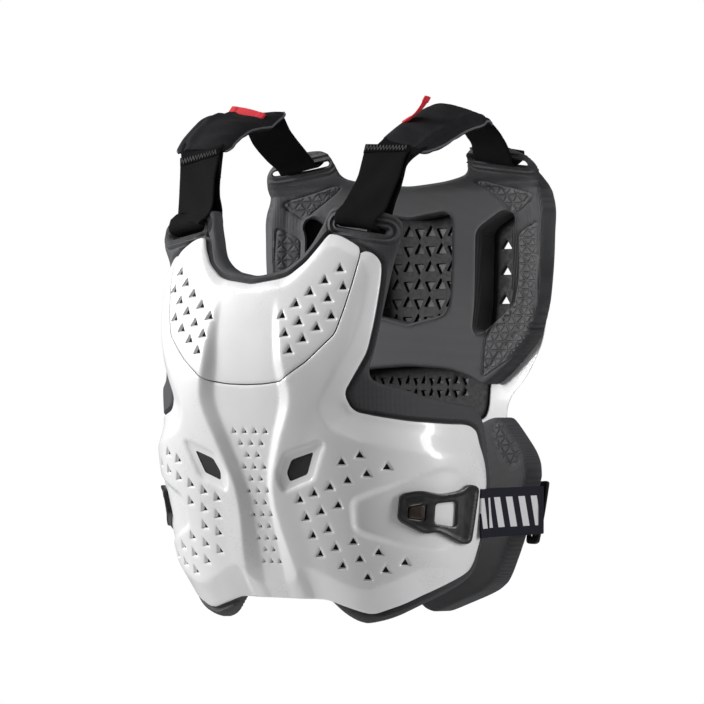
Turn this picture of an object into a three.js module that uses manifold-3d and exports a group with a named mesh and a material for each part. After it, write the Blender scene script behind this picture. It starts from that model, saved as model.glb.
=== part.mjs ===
// Roost deflector: a motocross chest and back protector, in the form it has when worn.
// Millimetres, +Z up, the wearer faces -Y and the wearer's left is +X.
// The origin is the shoulder rest: the level of the padded sleeves' undersides,
// midway between the shoulders.
import * as THREE from 'three';
import { mergeGeometries, mergeVertices } from 'three/addons/utils/BufferGeometryUtils.js';
import Module from 'manifold-3d';

const wasm = await Module();
wasm.setup();

// Driving dimensions of the front
const chestHalfWidth = 190;
const chestDepth = 175;
const chestSquareness = 2.8;
const torsoAxisY = -10;
const frontTop = 132;
const frontHeight = 386;
const shellWall = 3;
const frontFoam = 10;
const troughDepth = 4;
const ridgeHeight = 3.5;
const troughHalfWidth = 42;
const ridgeFade = 30;
const bevelSlope = 0.4;
const bevelLimit = 15;
const buckleBayDepth = 6;
const seamGap = 1;

// Driving dimensions of the back
const backHalfWidth = 222;
const backDepth = 113;
const backSquareness = 4;
const backTop = 30;
const backHeight = 496;
const backFoam = 18;
const lugFoam = 9;
const latticeWall = 2;

// Driving dimensions of the vents
const ventWidth = 10.5;
const ventDepthTaper = 0.55;
const backVentWidth = 11;
const latticePitch = 19.5;
const latticeBar = 5.5;

// Driving dimensions of the straps and their fittings
const seatGap = 0.3;
const webbingWidth = 50;
const webbingThickness = 2;
const slotLength = 54;
const slotHeight = 10;
const plyStand = 11.5;
const sleeveTop = 5;
const sleeveWidth = 64;
const sleeveCrown = 6;
const tabWidth = 11;
const tabThickness = 1.6;
const tabReach = 0.38;
const tabRise = 4;
const buckleThickness = 5;
const studThickness = 3.5;
const sliderThickness = 4;
const sideStrapDown = 0.733;
const sliderDown = 0.776;

// Radius, in the flat pattern, that turns an angle round the torso into a length
const patternRadius = 170;

// The chest's sections: how far down, as a share of the front's height, depth and
// width as shares of the chest's own, and the most that the bevel may drop there as a
// share of its limit
const chestSections = [
  { down: -0.12, depth: 0.75, width: 1, bevel: 0.15 },
  { down: 0.02, depth: 0.85, width: 1, bevel: 0.35 },
  { down: 0.15, depth: 0.945, width: 1, bevel: 0.7 },
  { down: 0.31, depth: 1, width: 1, bevel: 0.7 },
  { down: 0.46, depth: 0.974, width: 1, bevel: 0.55 },
  { down: 0.62, depth: 0.906, width: 1, bevel: 0.7 },
  { down: 0.77, depth: 0.811, width: 0.98, bevel: 1 },
  { down: 0.93, depth: 0.691, width: 0.942, bevel: 1 },
  { down: 1.06, depth: 0.61, width: 0.93, bevel: 1 },
];

// The central trough: half widths of its floor and of its ridges as shares of
// the trough's half width, and how much of its depth it has there
const troughSections = [
  { down: -0.12, floor: 0.8, ridge: 0.9, share: 0 },
  { down: 0.16, floor: 0.82, ridge: 0.92, share: 0 },
  { down: 0.26, floor: 0.86, ridge: 1.05, share: 0.6 },
  { down: 0.33, floor: 0.89, ridge: 1.12, share: 1 },
  { down: 0.435, floor: 0.99, ridge: 1.3, share: 1 },
  { down: 0.54, floor: 0.69, ridge: 0.98, share: 1 },
  { down: 0.655, floor: 0.38, ridge: 0.63, share: 1 },
  { down: 0.74, floor: 0.35, ridge: 0.64, share: 1 },
  { down: 0.85, floor: 0.42, ridge: 0.9, share: 0.9 },
  { down: 0.93, floor: 0.46, ridge: 1.1, share: 0.5 },
  { down: 1.06, floor: 0.5, ridge: 1.2, share: 0.3 },
];

// The back's sections, as for the chest
const backSections = [
  { down: -0.06, depth: 0.79, width: 1 },
  { down: 0.0, depth: 0.8, width: 1 },
  { down: 0.03, depth: 0.83, width: 1 },
  { down: 0.06, depth: 0.9, width: 1 },
  { down: 0.1, depth: 1, width: 1 },
  { down: 0.2, depth: 1, width: 1 },
  { down: 0.33, depth: 0.985, width: 0.985 },
  { down: 0.41, depth: 0.96, width: 0.96 },
  { down: 0.54, depth: 0.94, width: 0.94 },
  { down: 0.7, depth: 0.93, width: 0.93 },
  { down: 0.8, depth: 0.92, width: 0.915 },
  { down: 0.91, depth: 0.89, width: 0.89 },
  { down: 1.06, depth: 0.84, width: 0.84 },
];

// Half outlines, from the centre line round to the centre line again: degrees
// round the torso and share of the height
const plateauOutline = [
  [0, 0.15], [16, 0.137], [23, 0.092], [30.7, 0.026], [40, 0.06], [44.2, 0.096], [42.1, 0.194],
  [39.4, 0.268], [35.6, 0.33], [27.6, 0.448], [31.3, 0.513], [41.1, 0.541], [57.5, 0.57],
  [80, 0.585], [84.5, 0.63], [84, 0.8], [81, 0.872], [62.2, 0.869], [55.2, 0.902], [44.5, 0.934],
  [34, 0.911], [18, 0.868], [12, 0.92], [0, 0.922],
];
const chestPanelOutline = [
  [0, 0.13], [12, 0.118], [16, 0.11], [22.5, 0.075], [27, 0.036], [30.5, 0.003], [32, 0],
  [35.4, 0.006], [40.8, 0.031], [41.7, 0.043], [40.7, 0.073], [38.4, 0.138], [36.1, 0.199],
  [33.4, 0.262], [24.9, 0.33], [15.5, 0.383], [8, 0.391], [0, 0.393],
];
const frontShellOutline = [
  [0, 0.32], [33, 0.15], [39.5, 0.062], [42, 0.05], [44, 0.046], [46.3, 0.056], [47.8, 0.073],
  [48.1, 0.087], [47.5, 0.129], [45.5, 0.222], [43.2, 0.309], [36.2, 0.417], [39.1, 0.463],
  [46.2, 0.476], [56.1, 0.489], [70, 0.497], [78.5, 0.499], [82, 0.508], [84.1, 0.524],
  [86.3, 0.6], [86.9, 0.674], [84.4, 0.806], [82, 0.875], [79.8, 0.891], [70.3, 0.927],
  [58.7, 0.97], [48.6, 0.998], [44, 0.992], [28, 0.961], [0, 0.961],
];
const frontLinerOutline = [
  [0, 0.109], [12.3, 0.094], [18, 0.07], [22.3, 0.041], [26, 0], [29, -0.037], [30.5, -0.066],
  [34, -0.075], [42, -0.07], [51, -0.052], [54, -0.037], [55, -0.019], [53, 0.059],
  [48.9, 0.187], [45.6, 0.309], [43.5, 0.37], [47, 0.392], [53.6, 0.402], [60.5, 0.422],
  [73.5, 0.444], [80.6, 0.448], [85, 0.463], [87.8, 0.489], [90.6, 0.564], [91.8, 0.675],
  [87.7, 0.813], [86.5, 0.87], [85, 0.898], [81, 0.915], [73.6, 0.944], [56.8, 1.007],
  [48.7, 1.022], [45, 1.022], [38.8, 1.006], [29.8, 0.966], [26, 0.948], [0, 0.948],
];
const buckleBayOutline = [
  [38, 0.69], [47.7, 0.66], [62.8, 0.619], [68.2, 0.61], [74, 0.622], [74, 0.81], [66, 0.829],
  [54.3, 0.816], [39, 0.78],
];
const diamondWindow = [[29.6, 0.545], [16, 0.579], [12.1, 0.635], [13.6, 0.672], [25.3, 0.64]];
const backLinerOutline = [
  [0, 0.084], [14, 0.08], [24.3, 0.076], [34, 0.068], [39, 0.06], [41.5, 0.042], [44.5, 0.015],
  [47, 0.003], [50.5, 0], [55, 0.004], [61, 0.022], [63, 0.04], [62.5, 0.07], [60.8, 0.09],
  [59.5, 0.103], [61, 0.14], [61, 0.25], [60.5, 0.34], [59.4, 0.407], [58, 0.42], [51, 0.478],
  [46, 0.507], [43.4, 0.515], [40.5, 0.502], [33.8, 0.488], [24.1, 0.479], [0, 0.473],
];
const backWindow = [
  [0, 0.158], [21.4, 0.145], [24.6, 0.15], [25.8, 0.17], [26, 0.245], [25.6, 0.331],
  [24.5, 0.352], [21.5, 0.362], [0, 0.381],
];
const ventChannel = [
  [39.4, 0.185], [49.4, 0.143], [52.2, 0.161], [51, 0.183], [51.6, 0.333], [50.7, 0.354],
  [43.1, 0.4], [40.1, 0.4],
];
const backLatticeOutline = [
  [0, 0.125], [27, 0.118], [45, 0.118], [55, 0.15], [55.5, 0.36], [46, 0.44], [39.5, 0.5],
  [39, 0.57], [36, 0.59], [0, 0.6],
];
const backShellOutline = [
  [0, 0.105], [22, 0.1], [32, 0.086], [40, 0.085], [54, 0.108], [57, 0.14], [57.5, 0.3],
  [58.2, 0.41], [55.9, 0.454], [52.2, 0.503], [48.9, 0.524], [46.5, 0.55], [45.9, 0.58],
  [47, 0.61], [55, 0.68], [54.5, 0.72], [50, 0.84], [47, 0.91], [39, 0.955], [25, 0.975],
  [17, 0.96], [9, 0.93], [0, 0.925],
];
const waistLinerOutline = [
  [0, 0.625], [30, 0.62], [40, 0.604], [45, 0.588], [48.3, 0.581], [50.4, 0.585], [59.4, 0.665],
  [60.3, 0.7], [60, 0.713], [54.8, 0.849], [53.3, 0.886], [51.5, 0.925], [49.6, 0.94],
  [46.5, 0.955], [39, 0.974], [27.3, 0.998], [23.3, 1], [20.4, 0.999], [15, 0.99], [9, 0.965],
  [0, 0.955],
];

// Vents of the front: rows of a slanted lattice. Each row starts at an angle and
// a share down, and steps outwards; the step down is one share of the pitch
const ventRows = [
  { plate: 'chest_panel', angle: 35.1, down: 0.094, angleStep: -4.93, downStep: 0.0302, count: 5 },
  { plate: 'chest_panel', angle: 36.1, down: 0.141, angleStep: -4.77, downStep: 0.0302, count: 5 },
  { plate: 'chest_panel', angle: 32.5, down: 0.217, angleStep: -4.58, downStep: 0.0295, count: 4 },
  { plate: 'front_shell', angle: 41.2, down: 0.577, angleStep: -5.61, downStep: 0.0181, count: 2 },
  { plate: 'front_shell', angle: 49.3, down: 0.608, angleStep: -5.9, downStep: 0.0174, count: 6 },
  { plate: 'front_shell', angle: 34.3, down: 0.708, angleStep: -6.23, downStep: 0.017, count: 3 },
  { plate: 'front_shell', angle: 30.5, down: 0.772, angleStep: -6.46, downStep: 0.0168, count: 2 },
  { plate: 'front_shell', angle: 39.6, down: 0.803, angleStep: -6.49, downStep: 0.0171, count: 3 },
  { plate: 'front_shell', angle: 48.2, down: 0.831, angleStep: -6.2, downStep: 0.0181, count: 3 },
  { plate: 'front_shell', angle: 56.8, down: 0.858, angleStep: -5.88, downStep: 0.0196, count: 3 },
];

// The webbing's routes over the two shoulders, which differ as the worn straps do:
// reach as a share of the way back from the front slot to the back slot, rise as a
// share of the way up from the front slot to the top, side as a share of the way out,
// then the angles of the webbing's breadth: tilt of its outer edge downwards and turn
// of its outer edge backwards
const shoulderRoutes = {
  left: [
    { reach: 0, rise: 0, side: 0, tilt: 11, turn: 20 },
    { reach: 0.018, rise: 0.161, side: 0.05, tilt: 9, turn: 18 },
    { reach: 0.037, rise: 0.266, side: 0.08, tilt: 7, turn: 16 },
    { reach: 0.095, rise: 0.408, side: 0.1, tilt: 7, turn: 13 },
    { reach: 0.139, rise: 0.528, side: 0.13, tilt: 8, turn: 10 },
    { reach: 0.185, rise: 0.64, side: 0.16, tilt: 9, turn: 8 },
    { reach: 0.319, rise: 0.738, side: 0.25, tilt: 14, turn: 4 },
    { reach: 0.426, rise: 0.828, side: 0.35, tilt: 15, turn: 2 },
    { reach: 0.528, rise: 0.925, side: 0.48, tilt: 10, turn: 0 },
    { reach: 0.606, rise: 0.985, side: 0.58, tilt: 3, turn: 0 },
    { reach: 0.676, rise: 0.97, side: 0.68, tilt: 0, turn: 0 },
    { reach: 0.759, rise: 0.903, side: 0.8, tilt: 0, turn: 0 },
    { reach: 0.829, rise: 0.843, side: 0.88, tilt: 3, turn: 0 },
    { reach: 0.88, rise: 0.768, side: 0.95, tilt: 7, turn: -2 },
    { reach: 0.898, rise: 0.693, side: 1, tilt: 11, turn: -3 },
  ],
  right: [
    { reach: 0, rise: 0, side: 0, tilt: 11, turn: 20 },
    { reach: 0.014, rise: 0.161, side: 0.1, tilt: 9, turn: 18 },
    { reach: 0.032, rise: 0.266, side: 0.2, tilt: 7, turn: 16 },
    { reach: 0.06, rise: 0.4, side: 0.4, tilt: 4, turn: 13 },
    { reach: 0.088, rise: 0.52, side: 0.55, tilt: 1, turn: 10 },
    { reach: 0.116, rise: 0.64, side: 0.67, tilt: -2, turn: 8 },
    { reach: 0.204, rise: 0.768, side: 0.67, tilt: -10, turn: 4 },
    { reach: 0.319, rise: 0.903, side: 0.7, tilt: -10, turn: 2 },
    { reach: 0.435, rise: 0.978, side: 0.72, tilt: -12, turn: 0 },
    { reach: 0.542, rise: 1, side: 0.75, tilt: -10, turn: 0 },
    { reach: 0.62, rise: 0.985, side: 0.8, tilt: -3, turn: 0 },
    { reach: 0.676, rise: 0.903, side: 0.85, tilt: 3, turn: 0 },
    { reach: 0.755, rise: 0.79, side: 0.9, tilt: 7, turn: 0 },
    { reach: 0.829, rise: 0.708, side: 0.95, tilt: 9, turn: -2 },
    { reach: 0.872, rise: 0.65, side: 1, tilt: 11, turn: -3 },
  ],
};
const stitchedEnd = 5;
const webbingOverlap = 3;
const sleeveFront = 6;
const sleeveBack = 11;
const tabPlace = 8;

// The webbing's turn through a slot: how far it stands off the middle of the lug, as
// a share of its standing off at the lug, and how far above the slot's middle it is,
// as a share of the slot's length
const slotTurn = [
  { off: 1, above: 0.22 }, { off: 0.94, above: 0.12 }, { off: 0.65, above: 0.068 },
  { off: -0.65, above: 0.068 }, { off: -0.94, above: 0.12 }, { off: -1, above: 0.22 },
];

// How far the two plies of the front webbing stand off their middle, from the slot
// upwards, as a share of their standing off at the lug
const plySpread = [1, 0.95, 0.75, 0.58, 0.47];

// Padded sleeve's half section: place across and height over the webbing as shares of
// its half width and of its crown
const sleeveSection = [[1, 0.25], [0.72, 0.75], [0.3, 1], [-0.3, 1], [-0.72, 0.75], [-1, 0.25]];

// Buckle and stud, as degrees round the torso and share of the front's height
const buckleOutline = [
  [53.5, 0.677], [53.2, 0.747], [61.8, 0.784], [65.5, 0.777], [74.5, 0.812], [78.5, 0.811],
  [80.6, 0.662], [75.8, 0.653], [73.4, 0.67], [66.2, 0.679], [59.5, 0.668],
];
const buckleWindow = [[64.5, 0.703], [64.5, 0.755], [72, 0.766], [71.8, 0.698]];
const studPocket = [[56, 0.708], [56, 0.744], [61.6, 0.75], [61.6, 0.7]];

// Slider on the outside of the back shell: degrees round the torso and share of the
// back's height
const sliderOutline = [[51, 0.72], [57.8, 0.715], [55.2, 0.85], [51.4, 0.85]];
const sliderSlots = [
  [[52.2, 0.735], [52.2, 0.835], [53.3, 0.835], [53.6, 0.733]],
  [[54.9, 0.731], [54.3, 0.835], [54.9, 0.835], [56.3, 0.73]],
];

const colours = {
  shell: { color: 0xe9eaec, roughness: 0.25, metalness: 0 },
  liner: { color: 0x46474a, roughness: 0.85, metalness: 0 },
  lattice: { color: 0x1c1c1e, roughness: 0.7, metalness: 0 },
  webbing: { color: 0x161617, roughness: 0.9, metalness: 0 },
  tab: { color: 0xd6262c, roughness: 0.7, metalness: 0 },
  buckle: { color: 0x1a1a1c, roughness: 0.45, metalness: 0 },
  stud: { color: 0x2e2420, roughness: 0.35, metalness: 0.7 },
  sideStrap: { color: 0x22232a, roughness: 0.85, metalness: 0 },
};

const group = new THREE.Group();

const radians = THREE.MathUtils.degToRad;

function addMesh(name, geometry, finish) {
  const mesh = new THREE.Mesh(geometry, new THREE.MeshStandardMaterial(finish));
  mesh.name = name;
  group.add(mesh);
}

// Smooth value of one column of a table of sections
function sectionValue(sections, column, down) {
  const last = sections.length - 1;
  let i = 0;
  while (i < last - 1 && down > sections[i + 1].down) i += 1;
  const a = sections[i];
  const b = sections[i + 1];
  const span = b.down - a.down;
  const t = THREE.MathUtils.clamp((down - a.down) / span, 0, 1);
  const before = sections[Math.max(i - 1, 0)];
  const after = sections[Math.min(i + 2, last)];
  const slopeA = (b[column] - before[column]) / (b.down - before.down);
  const slopeB = (after[column] - a[column]) / (after.down - a.down);
  const t2 = t * t;
  const t3 = t2 * t;
  return (2 * t3 - 3 * t2 + 1) * a[column] + (t3 - 2 * t2 + t) * span * slopeA
    + (3 * t2 - 2 * t3) * b[column] + (t3 - t2) * span * slopeB;
}

// Superellipse section round the torso's axis
function sectionRadius(angle, width, depth, squareness) {
  const across = Math.abs(Math.sin(radians(angle))) / width;
  const along = Math.abs(Math.cos(radians(angle))) / depth;
  return (across ** squareness + along ** squareness) ** (-1 / squareness);
}

function flatPoint(sheet, [angle, down]) {
  return new THREE.Vector2(radians(angle) * patternRadius, -down * sheet.height);
}

// Distance from a point of the flat pattern to an outline, negative inside
function outlineDistance(outline, point) {
  let inside = false;
  let nearest = Infinity;
  for (let i = 0; i < outline.length; i += 1) {
    const a = outline[i];
    const b = outline[(i + 1) % outline.length];
    const edge = b.clone().sub(a);
    const along = THREE.MathUtils.clamp(point.clone().sub(a).dot(edge) / edge.lengthSq(), 0, 1);
    nearest = Math.min(nearest, point.distanceTo(a.clone().addScaledVector(edge, along)));
    const crosses = (a.y > point.y) !== (b.y > point.y);
    if (crosses && point.x < (edge.x * (point.y - a.y)) / edge.y + a.x) inside = !inside;
  }
  return inside ? -nearest : nearest;
}

function wholeOutline(half) {
  const other = half.filter(([angle]) => angle > 0).map(([angle, down]) => [-angle, down]);
  return [...half, ...other.reverse()];
}

const frontSheet = {
  side: -1, top: frontTop, height: frontHeight, outward: -1, edge: 94,
  columnCount: 7,
  rowPlaces: [-0.085, 0.02, 0.1, 0.2, 0.31, 0.39, 0.48, 0.58, 0.68, 0.78, 0.88, 1.035],
};
const backSheet = {
  side: 1, top: backTop, height: backHeight, outward: 1, edge: 64,
  columnCount: 7,
  rowPlaces: [-0.01, 0.04, 0.08, 0.15, 0.25, 0.35, 0.45, 0.55, 0.7, 0.85, 1.01],
};

const plateau = wholeOutline(plateauOutline).map((place) => flatPoint(frontSheet, place));
const buckleBay = buckleBayOutline.map((place) => flatPoint(frontSheet, place));

function chestRadius(angle, down) {
  const width = chestHalfWidth * sectionValue(chestSections, 'width', down);
  const depth = chestDepth * sectionValue(chestSections, 'depth', down);
  return sectionRadius(angle, width, depth, chestSquareness);
}

// How far the trough and its ridges stand out of the chest
function troughRelief(sideways, down) {
  const floor = troughHalfWidth * sectionValue(troughSections, 'floor', down);
  const ridge = troughHalfWidth * sectionValue(troughSections, 'ridge', down);
  const share = sectionValue(troughSections, 'share', down);
  if (sideways <= floor) return -troughDepth * share;
  if (sideways <= ridge) {
    const rise = (sideways - floor) / (ridge - floor);
    return (-troughDepth + (troughDepth + ridgeHeight) * rise) * share;
  }
  return ridgeHeight * share * Math.max(0, 1 - (sideways - ridge) / ridgeFade);
}

// How far the buckle bay is sunk, deepest at its front end
function bayRelief(point) {
  const inside = -outlineDistance(buckleBay, point);
  if (inside <= 0) return 0;
  const front = buckleBay[0].x;
  const back = buckleBay[5].x;
  const fade = 1 - (point.x - front) / (back - front);
  return -Math.min(inside, buckleBayDepth * fade);
}

frontSheet.radius = (angle, down) => {
  const point = flatPoint(frontSheet, [Math.abs(angle), down]);
  const bevel = Math.max(0, outlineDistance(plateau, point)) * bevelSlope;
  const relief = troughRelief(point.x, down) + bayRelief(point);
  const limit = bevelLimit * sectionValue(chestSections, 'bevel', down);
  return chestRadius(angle, down) + relief - Math.min(bevel, limit);
};

backSheet.radius = (angle, down) => {
  const width = backHalfWidth * sectionValue(backSections, 'width', down);
  const depth = backDepth * sectionValue(backSections, 'depth', down);
  return sectionRadius(angle, width, depth, backSquareness);
};

function sheetPoint(sheet, angle, down, depth) {
  const radius = sheet.radius(angle, down) + sheet.outward * depth;
  return new THREE.Vector3(
    radius * Math.sin(radians(angle)),
    torsoAxisY + sheet.side * radius * Math.cos(radians(angle)),
    -sheet.top - down * sheet.height,
  );
}

// Columns of a sheet's grid at one height: the trough's own edges, then even steps
function frontColumns(down) {
  const toAngle = 1 / radians(patternRadius);
  const floor = troughHalfWidth * sectionValue(troughSections, 'floor', down) * toAngle;
  const ridge = troughHalfWidth * sectionValue(troughSections, 'ridge', down) * toAngle;
  return halfColumns([floor, ridge], frontSheet);
}

function halfColumns(inner, sheet) {
  const columns = [...inner];
  const start = inner.length ? inner[inner.length - 1] : 0;
  const step = (sheet.edge - start) / sheet.columnCount;
  for (let i = 1; i <= sheet.columnCount; i += 1) columns.push(start + step * i);
  return [...columns.map((angle) => -angle).reverse(), 0, ...columns];
}

frontSheet.columns = frontColumns;
backSheet.columns = () => halfColumns([], backSheet);

// Closed mesh from a grid of points: rows of columns, on an outer and an inner face,
// with its diagonals mirrored about the middle column
function gridSolid(outer, inner) {
  const rows = outer.length;
  const columns = outer[0].length;
  const positions = [...outer, ...inner].flat().flatMap((point) => point.toArray());
  const at = (face, row, column) => (face * rows + row) * columns + column;
  const triangles = [];
  const quad = (a, b, c, d) => triangles.push(a, b, c, a, c, d);
  for (let row = 0; row < rows - 1; row += 1) {
    for (let column = 0; column < columns - 1; column += 1) {
      const [a, b, c, d] = [[row, column], [row + 1, column], [row + 1, column + 1], [row, column + 1]];
      const corners = column < (columns - 1) / 2 ? [a, b, c, d] : [b, c, d, a];
      const [e, f, g, h] = corners.map(([i, j]) => at(0, i, j));
      const [i, j, k, l] = corners.map(([m, n]) => at(1, m, n));
      triangles.push(e, f, g, e, g, h);
      triangles.push(i, k, j, i, l, k);
    }
  }
  for (let row = 0; row < rows - 1; row += 1) {
    quad(at(0, row, 0), at(1, row, 0), at(1, row + 1, 0), at(0, row + 1, 0));
    quad(at(0, row + 1, columns - 1), at(1, row + 1, columns - 1), at(1, row, columns - 1),
      at(0, row, columns - 1));
  }
  for (let column = 0; column < columns - 1; column += 1) {
    quad(at(0, 0, column + 1), at(1, 0, column + 1), at(1, 0, column), at(0, 0, column));
    quad(at(0, rows - 1, column), at(1, rows - 1, column), at(1, rows - 1, column + 1),
      at(0, rows - 1, column + 1));
  }
  return facingOut(indexedGeometry(positions, triangles));
}

// Closed mesh through a row of sections with equal numbers of points
function loft(rings) {
  const count = rings[0].length;
  const positions = rings.flat().flatMap((point) => point.toArray());
  const triangles = [];
  for (let start = 0; start < (rings.length - 1) * count; start += count) {
    for (let i = 0; i < count; i += 1) {
      const a = start + i;
      const b = start + ((i + 1) % count);
      triangles.push(a, b, b + count, a, b + count, a + count);
    }
  }
  const last = (rings.length - 1) * count;
  for (let i = 1; i < count - 1; i += 1) triangles.push(0, i + 1, i, last, last + i, last + i + 1);
  return facingOut(indexedGeometry(positions, triangles));
}

function indexedGeometry(positions, triangles) {
  const geometry = new THREE.BufferGeometry();
  geometry.setAttribute('position', new THREE.Float32BufferAttribute(positions, 3));
  geometry.setIndex(triangles);
  return geometry;
}

function signedVolume(geometry) {
  const position = geometry.attributes.position;
  const index = geometry.index;
  const corner = [new THREE.Vector3(), new THREE.Vector3(), new THREE.Vector3()];
  let volume = 0;
  for (let i = 0; i < index.count; i += 3) {
    corner.forEach((point, k) => point.fromBufferAttribute(position, index.getX(i + k)));
    volume += corner[0].dot(corner[1].clone().cross(corner[2])) / 6;
  }
  return volume;
}

function facingOut(geometry) {
  if (signedVolume(geometry) >= 0) return geometry;
  const index = Array.from(geometry.index.array);
  for (let i = 0; i < index.length; i += 3) [index[i], index[i + 1]] = [index[i + 1], index[i]];
  geometry.setIndex(index);
  return geometry;
}

function toSolid(geometry) {
  const bare = geometry.clone();
  for (const name of Object.keys(bare.attributes)) {
    if (name !== 'position') bare.deleteAttribute(name);
  }
  const merged = facingOut(mergeVertices(bare, 1e-4));
  return new wasm.Manifold(new wasm.Mesh({
    numProp: 3,
    vertProperties: new Float32Array(merged.attributes.position.array),
    triVerts: new Uint32Array(merged.index.array),
  }));
}

function toGeometry(solid) {
  const mesh = solid.getMesh();
  const geometry = new THREE.BufferGeometry();
  geometry.setAttribute('position', new THREE.BufferAttribute(mesh.vertProperties, 3));
  geometry.setIndex(new THREE.BufferAttribute(mesh.triVerts, 1));
  geometry.computeVertexNormals();
  return geometry;
}

// A sheet's layer between two depths, as a closed solid
function sheetLayer(sheet, near, far) {
  const outer = [];
  const inner = [];
  for (const down of sheet.rowPlaces) {
    const columns = sheet.columns(down);
    outer.push(columns.map((angle) => sheetPoint(sheet, angle, down, near(down))));
    inner.push(columns.map((angle) => sheetPoint(sheet, angle, down, far(down))));
  }
  return toSolid(gridSolid(outer, inner));
}

// Cutter that stands on an outline and runs straight out from the torso's axis. It
// is banded close to the sheet, so that its sides follow the outline there
const curtainNear = 40;
const curtainFar = 420;
const curtainBand = 30;

function curtain(sheet, outline) {
  const points = outline.map(([angle, down]) => new THREE.Vector2(angle, -down * sheet.height));
  const faces = THREE.ShapeUtils.triangulateShape(points, []);
  const clockwise = THREE.ShapeUtils.isClockWise(points);
  const bands = [
    () => curtainNear,
    (angle, down) => sheet.radius(angle, down) - curtainBand,
    (angle, down) => sheet.radius(angle, down) + curtainBand,
    () => curtainFar,
  ];
  const positions = [];
  for (const band of bands) {
    for (const [angle, down] of outline) {
      const radius = band(angle, down);
      positions.push(radius * Math.sin(radians(angle)));
      positions.push(torsoAxisY + sheet.side * radius * Math.cos(radians(angle)));
      positions.push(-sheet.top - down * sheet.height);
    }
  }
  const count = outline.length;
  const far = (bands.length - 1) * count;
  const triangles = [];
  for (const [a, b, c] of faces) {
    triangles.push(a, b, c);
    triangles.push(far + a, far + c, far + b);
  }
  for (let start = 0; start < far; start += count) {
    for (let i = 0; i < count; i += 1) {
      const a = start + (clockwise ? i : (i + 1) % count);
      const b = start + (clockwise ? (i + 1) % count : i);
      triangles.push(a, b, count + b, a, count + b, count + a);
    }
  }
  return toSolid(indexedGeometry(positions, triangles));
}

function mirrored(outline) {
  return outline.map(([angle, down]) => [-angle, down]).reverse();
}

// Both halves of a symmetric outline's cutter, joined on the centre plane
function wholeCurtain(sheet, half) {
  return curtain(sheet, half).add(curtain(sheet, mirrored(half)));
}

// The same outline moved outwards, or inwards if negative, in the flat pattern
function offsetOutline(sheet, half, distance, closed = false) {
  const flat = half.map((place) => flatPoint(sheet, place));
  const turn = THREE.ShapeUtils.isClockWise(flat) ? 1 : -1;
  const last = half.length - 1;
  const across = (point) => point.clone().multiply(new THREE.Vector2(-1, 1));
  return half.map(([angle], i) => {
    const here = flat[i];
    const before = flat[i - 1] ?? (closed ? flat[last] : across(here));
    const after = flat[i + 1] ?? (closed ? flat[0] : across(here));
    const normals = [[before, here], [here, after]]
      .filter(([a, b]) => a.distanceTo(b) > 0)
      .map(([a, b]) => b.clone().sub(a).normalize())
      .map((edge) => new THREE.Vector2(-edge.y, edge.x).multiplyScalar(turn));
    const sum = normals.reduce((total, normal) => total.clone().add(normal), new THREE.Vector2());
    if (angle === 0) sum.x = 0;
    const middle = sum.clone().normalize();
    const stretch = Math.max(0.5, middle.dot(normals[0]));
    const moved = here.clone().addScaledVector(middle, distance / stretch);
    return [THREE.MathUtils.radToDeg(moved.x / patternRadius), -moved.y / sheet.height];
  });
}

// Frame on a sheet: outward normal, up along the surface and across it
function sheetFrame(sheet, angle, down, depth) {
  const step = 0.004;
  const origin = sheetPoint(sheet, angle, down, depth);
  const across = sheetPoint(sheet, angle + 1, down, depth)
    .sub(sheetPoint(sheet, angle - 1, down, depth)).normalize();
  const rise = sheetPoint(sheet, angle, down - step, depth)
    .sub(sheetPoint(sheet, angle, down + step, depth)).normalize();
  const out = across.clone().cross(rise).normalize().multiplyScalar(-sheet.side);
  const up = out.clone().cross(across).multiplyScalar(-sheet.side).normalize();
  return { origin, across, up, out };
}

function frameMatrix({ origin, across, up, out }) {
  const right = up.clone().cross(out);
  return new THREE.Matrix4().makeBasis(right, up, out).setPosition(origin);
}

// Tapered triangular vents through a wall, apex upwards
function ventCutter(sheet, places, width, wall, taper) {
  const reach = 6;
  const pieces = places.map(({ angle, down, depth = 0, scale = 1 }) => {
    const outerRadius = (width * scale) / Math.sqrt(3);
    const innerRadius = outerRadius * taper;
    const slope = (outerRadius - innerRadius) / wall;
    const nearRadius = outerRadius + slope * reach;
    const farRadius = Math.max(innerRadius - slope * reach, innerRadius * 0.6);
    const geometry = new THREE.CylinderGeometry(nearRadius, farRadius, wall + 2 * reach, 3);
    geometry.rotateX(Math.PI / 2);
    geometry.rotateZ(Math.PI);
    geometry.translate(0, 0, -wall / 2);
    geometry.applyMatrix4(frameMatrix(sheetFrame(sheet, angle, down, depth)));
    return bareGeometry(geometry);
  });
  return toSolid(mergeGeometries(pieces));
}

function bareGeometry(geometry) {
  geometry.deleteAttribute('normal');
  geometry.deleteAttribute('uv');
  return geometry;
}

function bothSides(places) {
  return places.flatMap((place) => [place, { ...place, angle: -place.angle }]);
}

function frontVents(plate) {
  return ventRows.filter((row) => row.plate === plate).flatMap((row) => {
    const places = [];
    for (let i = 0; i < row.count; i += 1) {
      places.push({ angle: row.angle + i * row.angleStep, down: row.down + i * row.downStep });
    }
    return bothSides(places);
  });
}

// Slot for the webbing, through a lug
function slotCutter(sheet, angle, down, roll, wall) {
  const pieces = [1, -1].map((side) => {
    const frame = sheetFrame(sheet, side * angle, down, wall / 2);
    const geometry = new THREE.BoxGeometry(slotLength, slotHeight, wall + 16);
    geometry.rotateZ(radians(side * sheet.side * roll));
    geometry.applyMatrix4(frameMatrix(frame));
    return bareGeometry(geometry);
  });
  return toSolid(mergeGeometries(pieces));
}

const frontSlot = { angle: 41.6, down: -0.009, roll: 11 };
const backSlot = { angle: 53.2, down: 0.043, roll: 11 };

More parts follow.
